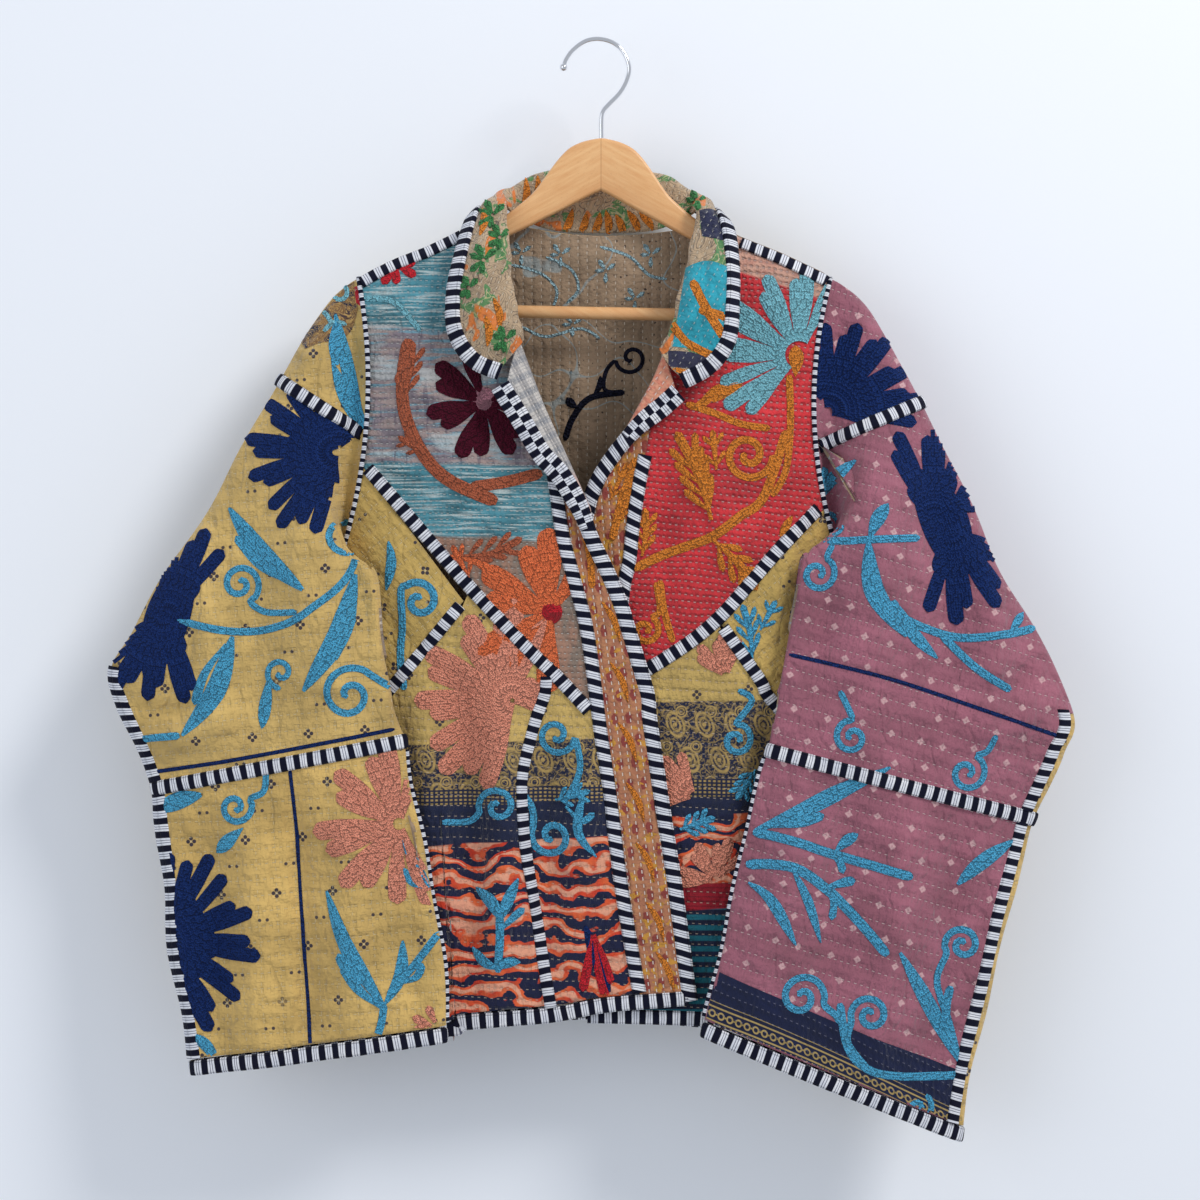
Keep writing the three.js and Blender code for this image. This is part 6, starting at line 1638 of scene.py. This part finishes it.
fan("fl", "red", 395, 262, 150, 400, 5, 22, 8, 3)
stroke("fl", "sky", [(362, 296), (392, 300), (420, 330)], 5)
# right front
fan("fr", "sky", 800, 354, 58, 236, 12, 84, 12, 14)
stroke("fr", "amber", [(796, 376), (797, 358), (796, 344)], 13, "drop")
stroke("fr", "amber", [(634, 569), (660, 556), (687, 546), (713, 536), (740, 516), (764, 496), (787, 430)], 8)
leaf("fr", "amber", 711, 520, 676, 432, 19, 0.05, 4)
spiral("fr", "amber", 748, 455, 26, 0, 1.6, 1, 6.5, [(776, 470)])
leaf("fr", "amber", 713, 540, 757, 590, 18, -0.05, 3)
leaf("fr", "amber", 716, 470, 712, 430, 13, 0, 2)
leaf("fr", "amber", 642, 556, 645, 508, 14, 0.05, 3)
stroke("fr", "amber", [(712, 402), (724, 392), (742, 384)], 10, "leaf")
spiral("fr", "amber", 645, 630, 15, 60, 1.4, 1, 5.5, [(660, 610), (656, 582)])
stroke("fr", "amber", [(790, 374), (791, 424), (786, 470), (772, 496)], 6)
stroke("fr", "amber", [(686, 404), (716, 414), (742, 424), (770, 428)], 6)
stroke("fr", "amber", [(738, 382), (718, 388), (704, 402), (690, 410)], 8, "drop")
stroke("fr", "amber", [(792, 516), (784, 532), (788, 548)], 8, "leaf")
stroke("fr", "amber", [(660, 580), (664, 610), (673, 642)], 6)
leaf("fr", "blue", 752, 660, 742, 604, 14, 0.05, 3)
leaf("fr", "blue", 760, 630, 776, 600, 12, 0, 2)
fan("fr", "coral", 726, 676, 60, 160, 5, 40, 9, 4)
fan("fr", "coral", 694, 796, 100, 200, 6, 46, 9, 4)
spiral("fr", "blue", 736, 740, 17, 90, 1.4, 1, 5.5, [(752, 700), (738, 690)])
leaf("fr", "blue", 680, 830, 716, 818, 15, 0, 3)
leaf("fr", "blue", 756, 770, 736, 800, 14, 0, 3)
fan("fr", "coral", 716, 880, 30, 200, 7, 40, 9, 4)
# plackets
for i, (x, y) in enumerate(((588, 560), (598, 620), (606, 680), (614, 740), (622, 800), (632, 860), (642, 920), (652, 970))):
    stroke("pl", "amber", [(x + 4, y - 18), (x + 16, y), (x + 22, y + 22)], 5.5, "leaf", 0.7)
stroke("pl", "amber", [(584, 532), (590, 556), (592, 588)], 6)
stroke("pr", "amber", [(636, 458), (622, 500), (612, 540)], 7)
leaf("pr", "amber", 622, 520, 634, 480, 12, 0, 2)
leaf("pr", "amber", 610, 500, 628, 462, 11, 0, 2)
# collar
for x0, y0, x1, y1 in ((524, 168, 520, 205), (536, 166, 532, 200), (548, 176, 540, 208), (482, 206, 480, 236), (494, 300, 500, 330), (486, 318, 488, 348)):
    stroke("co", "amber", [(x0, y0), ((x0 + x1) / 2 + 3, (y0 + y1) / 2), (x1, y1)], 6.5, "leaf")
for x0, y0, x1, y1 in ((560, 232, 572, 200), (578, 230, 586, 204), (592, 228, 600, 204), (608, 228, 606, 202), (624, 230, 616, 206), (640, 226, 628, 202), (654, 222, 640, 204)):
    stroke("co", "amber", [(x0, y0), ((x0 + x1) / 2 + 2, (y0 + y1) / 2), (x1, y1)], 7, "leaf")
for cx, cy, r in ((492, 214, 9), (500, 238, 8), (484, 262, 9), (470, 290, 7), (506, 342, 8), (700, 196, 8)):
    fan("co", "green", cx, cy, 20, 300, 5, r * 1.8, 6, 2)
stroke("co", "amber", [(692, 282), (700, 300), (712, 322), (728, 346)], 8)
stroke("co", "amber", [(670, 322), (684, 342), (700, 352), (718, 360)], 7)
stroke("co", "amber", [(698, 312), (722, 318), (738, 330)], 7)
stroke("co", "amber", [(672, 372), (690, 376), (706, 376)], 7)
# inside back
stroke("ba", "pale", [(509, 258), (528, 262), (545, 270), (556, 284), (552, 300)], 2.6, "vine", 0.5, 3)
stroke("ba", "pale", [(545, 250), (570, 262), (578, 282), (566, 296)], 2.6, "vine", 0.5, 3)
stroke("ba", "pale", [(600, 240), (630, 250), (650, 268), (668, 272)], 2.6, "vine", 0.5, 3)
stroke("ba", "pale", [(520, 320), (545, 330), (580, 322), (600, 332)], 2.6, "vine", 0.5, 3)
for x, y in ((520, 246), (560, 248), (606, 264), (636, 292), (572, 318), (652, 248)):
    fan("ba", "pale", x, y, 0, 300, 4, 12, 4, 2, high=0.5)
spiral("ba", "black", 632, 352, 17, 190, 1.3, -1, 3.6, [(606, 366), (605, 385), (625, 387)])
stroke("ba", "black", [(625, 387), (590, 393), (572, 414), (564, 436)], 5.5)
stroke("ba", "black", [(578, 404), (570, 398), (566, 392)], 8, "drop")
stroke("ba", "black", [(592, 392), (600, 380), (600, 370)], 6, "drop")

# straight hand-stitched lines and the saree band over the right cuff
stroke("sl", "navy", [(147, 773), (230, 760), (310, 745), (396, 728)], 3.4, "vine", 0.8, 3)
stroke("sl", "navy", [(292, 768), (298, 830), (302, 894), (308, 980), (313, 1058)], 3.2, "vine", 0.8, 3)
stroke("sr", "navy", [(788, 654), (880, 676), (960, 702), (1064, 738)], 3.4, "vine", 0.8, 3)

for (ground, mat), (V, F, UV) in BATCH.items():
    if F:
        make(f"stitch_{ground}_{mat}", V, F, UV, [T[mat]])


def mat_cap_print():
    """Brown and gold print on navy, close and scrolling."""
    m = Mat("cap_print")
    w = m.noise(m.u, m.v, 0.09, 2.0, 0.5, 1.2, seed=2)
    col = m.mix(w.ramp(0.44, 0.5), (22, 26, 56), (128, 96, 62))
    col = m.mix(((w * 15).frac() - 0.5).abs().ramp(0.2, 0.1) * 0.75, col, (196, 160, 96))
    t, h = m.rows(*m.turned(30), 6.0, 5.4, 0.4, 0.6, 1.0)
    return m.done(col, h + m.weave())


def applique(name, ground, mat, top, low, high=0.35, nu=60, nv=16, uv=None):
    """A patch sewn on between two lines (px)."""
    A = smooth_path([(float(X(a)), float(Z(b))) for a, b in top], nu)
    B = smooth_path([(float(X(a)), float(Z(b))) for a, b in low], nu)
    t = np.linspace(0, 1, nv)
    P2 = B[:, None] * (1 - t)[None, :, None] + A[:, None] * t[None, :, None]
    if uv == "along":
        s = np.concatenate([[0], np.cumsum(np.linalg.norm(np.diff(B, axis=0), axis=1))])
        wid = np.linalg.norm(A - B, axis=1)
        UV = np.stack([np.broadcast_to(s[:, None], (nu, nv)), wid[:, None] * t[None]], -1)
    else:
        UV = P2
    BATCH.clear()
    lay(ground, mat if isinstance(mat, str) else "x", P2, UV, np.full((nu, nv), high))
    V, F, U = BATCH.popitem()[1]
    if F:
        make(name, V, F, U, [mat])


applique("cap_print_v", "sl", mat_cap_print(), [(349, 264), (332, 270), (315, 288), (304, 314), (297, 338)], [(356, 306), (350, 326), (338, 338), (318, 342), (304, 348)], 0.3, 40, 22)
applique("red_patch_v", "sl", mat_flatcolour("red_patch", (196, 34, 48)), [(352, 284), (358, 282), (364, 284), (368, 288)], [(354, 300), (360, 304), (366, 302), (370, 298)], 0.4, 14, 8)
BATCH.clear()
spiral("sl", "sky", 336, 290, 11, 120, 1.3, 1, 4.2, [(344, 276)])
stroke("sl", "sky", [(322, 330), (332, 320), (344, 322)], 4)
stroke("sl", "sky", [(316, 306), (324, 312), (330, 322)], 4)
for (ground, mat), (V, F, UV) in list(BATCH.items()):
    if F:
        make(f"curl_{ground}_{mat}", V, F, UV, [T[mat]])
applique("cuff_band_v", "sr", M["saree"], [(716, 968), (790, 1000), (860, 1030), (960, 1070)], [(704, 1022), (780, 1052), (860, 1088), (962, 1138)], 0.3, 90, 24, "along")
applique("collar_turquoise", "co", mat_flatcolour("turquoise", (44, 158, 178)), [(686, 268), (704, 262), (722, 266), (736, 272)], [(672, 348), (690, 350), (712, 352), (732, 348)])
applique("collar_navy", "co", mat_flatcolour("collar_navy", (34, 38, 66)), [(700, 208), (710, 206), (722, 208), (732, 212)], [(702, 236), (712, 238), (722, 240), (732, 240)])
applique("collar_scroll", "co", mat_flatcolour("collar_scroll", (52, 52, 74)), [(668, 352), (690, 354), (706, 358), (720, 354)], [(668, 368), (690, 370), (706, 372), (716, 368)])

# ---------------------------------------------------------------- the cut of each cloth piece, printed
for node, ob, w, l, area in CUTS:
    round(min(area, w * l), 5)
    print("CUT", node, round(w, 3), round(l, 3), round(area, 4))

# ---------------------------------------------------------------- stage
scene = bpy.context.scene


def stage_plane(name, corners, colour, rough=0.9):
    me = bpy.data.meshes.new(name)
    me.from_pydata(corners, [], [(0, 1, 2, 3)])
    ob = bpy.data.objects.new(name, me)
    scene.collection.objects.link(ob)
    mt = bpy.data.materials.new(name)
    mt.use_nodes = True
    nt = mt.node_tree
    b = nt.nodes["Principled BSDF"]
    b.inputs["Base Color"].default_value = lin(colour)
    b.inputs["Roughness"].default_value = rough
    b.inputs["Specular IOR Level"].default_value = 0.1
    geo, tr, mx = nt.nodes.new("ShaderNodeNewGeometry"), nt.nodes.new("ShaderNodeBsdfTransparent"), nt.nodes.new("ShaderNodeMixShader")
    nt.links.new(geo.outputs["Backfacing"], mx.inputs[0])
    nt.links.new(b.outputs[0], mx.inputs[1])
    nt.links.new(tr.outputs[0], mx.inputs[2])
    nt.links.new(mx.outputs[0], nt.nodes["Material Output"].inputs[0])
    me.materials.append(mt)
    return ob


stage_plane("wall", [(-4, 0.075, -3), (4, 0.075, -3), (4, 0.075, 3), (-4, 0.075, 3)], (243, 247, 253))


def area_light(name, loc, target, size, power, colour):
    ld = bpy.data.lights.new(name, "AREA")
    ld.shape, ld.size, ld.energy, ld.color = "DISK", size, power, colour
    ob = bpy.data.objects.new(name, ld)
    ob.location = loc
    ob.rotation_euler = (Vector(target) - Vector(loc)).to_track_quat("-Z", "Y").to_euler()
    scene.collection.objects.link(ob)


area_light("key", (1.9, -2.0, 1.7), (0, 0, -0.5), 1.1, 62, (1.0, 0.98, 0.96))
area_light("fill", (-2.2, -2.6, -0.2), (0, 0, -0.5), 2.4, 20, (0.93, 0.96, 1.0))
area_light("rear", (0.6, 2.6, 0.8), (0, 0, -0.5), 2.0, 26, (1.0, 1.0, 1.0))
scene.view_settings.view_transform = "Standard"
world = bpy.data.worlds.new("world")
world.use_nodes = True
world.node_tree.nodes["Background"].inputs[0].default_value = (0.82, 0.86, 0.93, 1)
world.node_tree.nodes["Background"].inputs[1].default_value = 0.62
scene.world = world
cam_data = bpy.data.cameras.new("camera")
cam_data.sensor_width, cam_data.lens = 36, 104.5
cam_data.clip_start, cam_data.clip_end = 0.05, 50
cam = bpy.data.objects.new("camera", cam_data)
cam.location = (-0.0013, -3.0, -0.481)
cam.rotation_euler = (math.pi / 2, 0, 0)
scene.collection.objects.link(cam)
scene.camera = cam
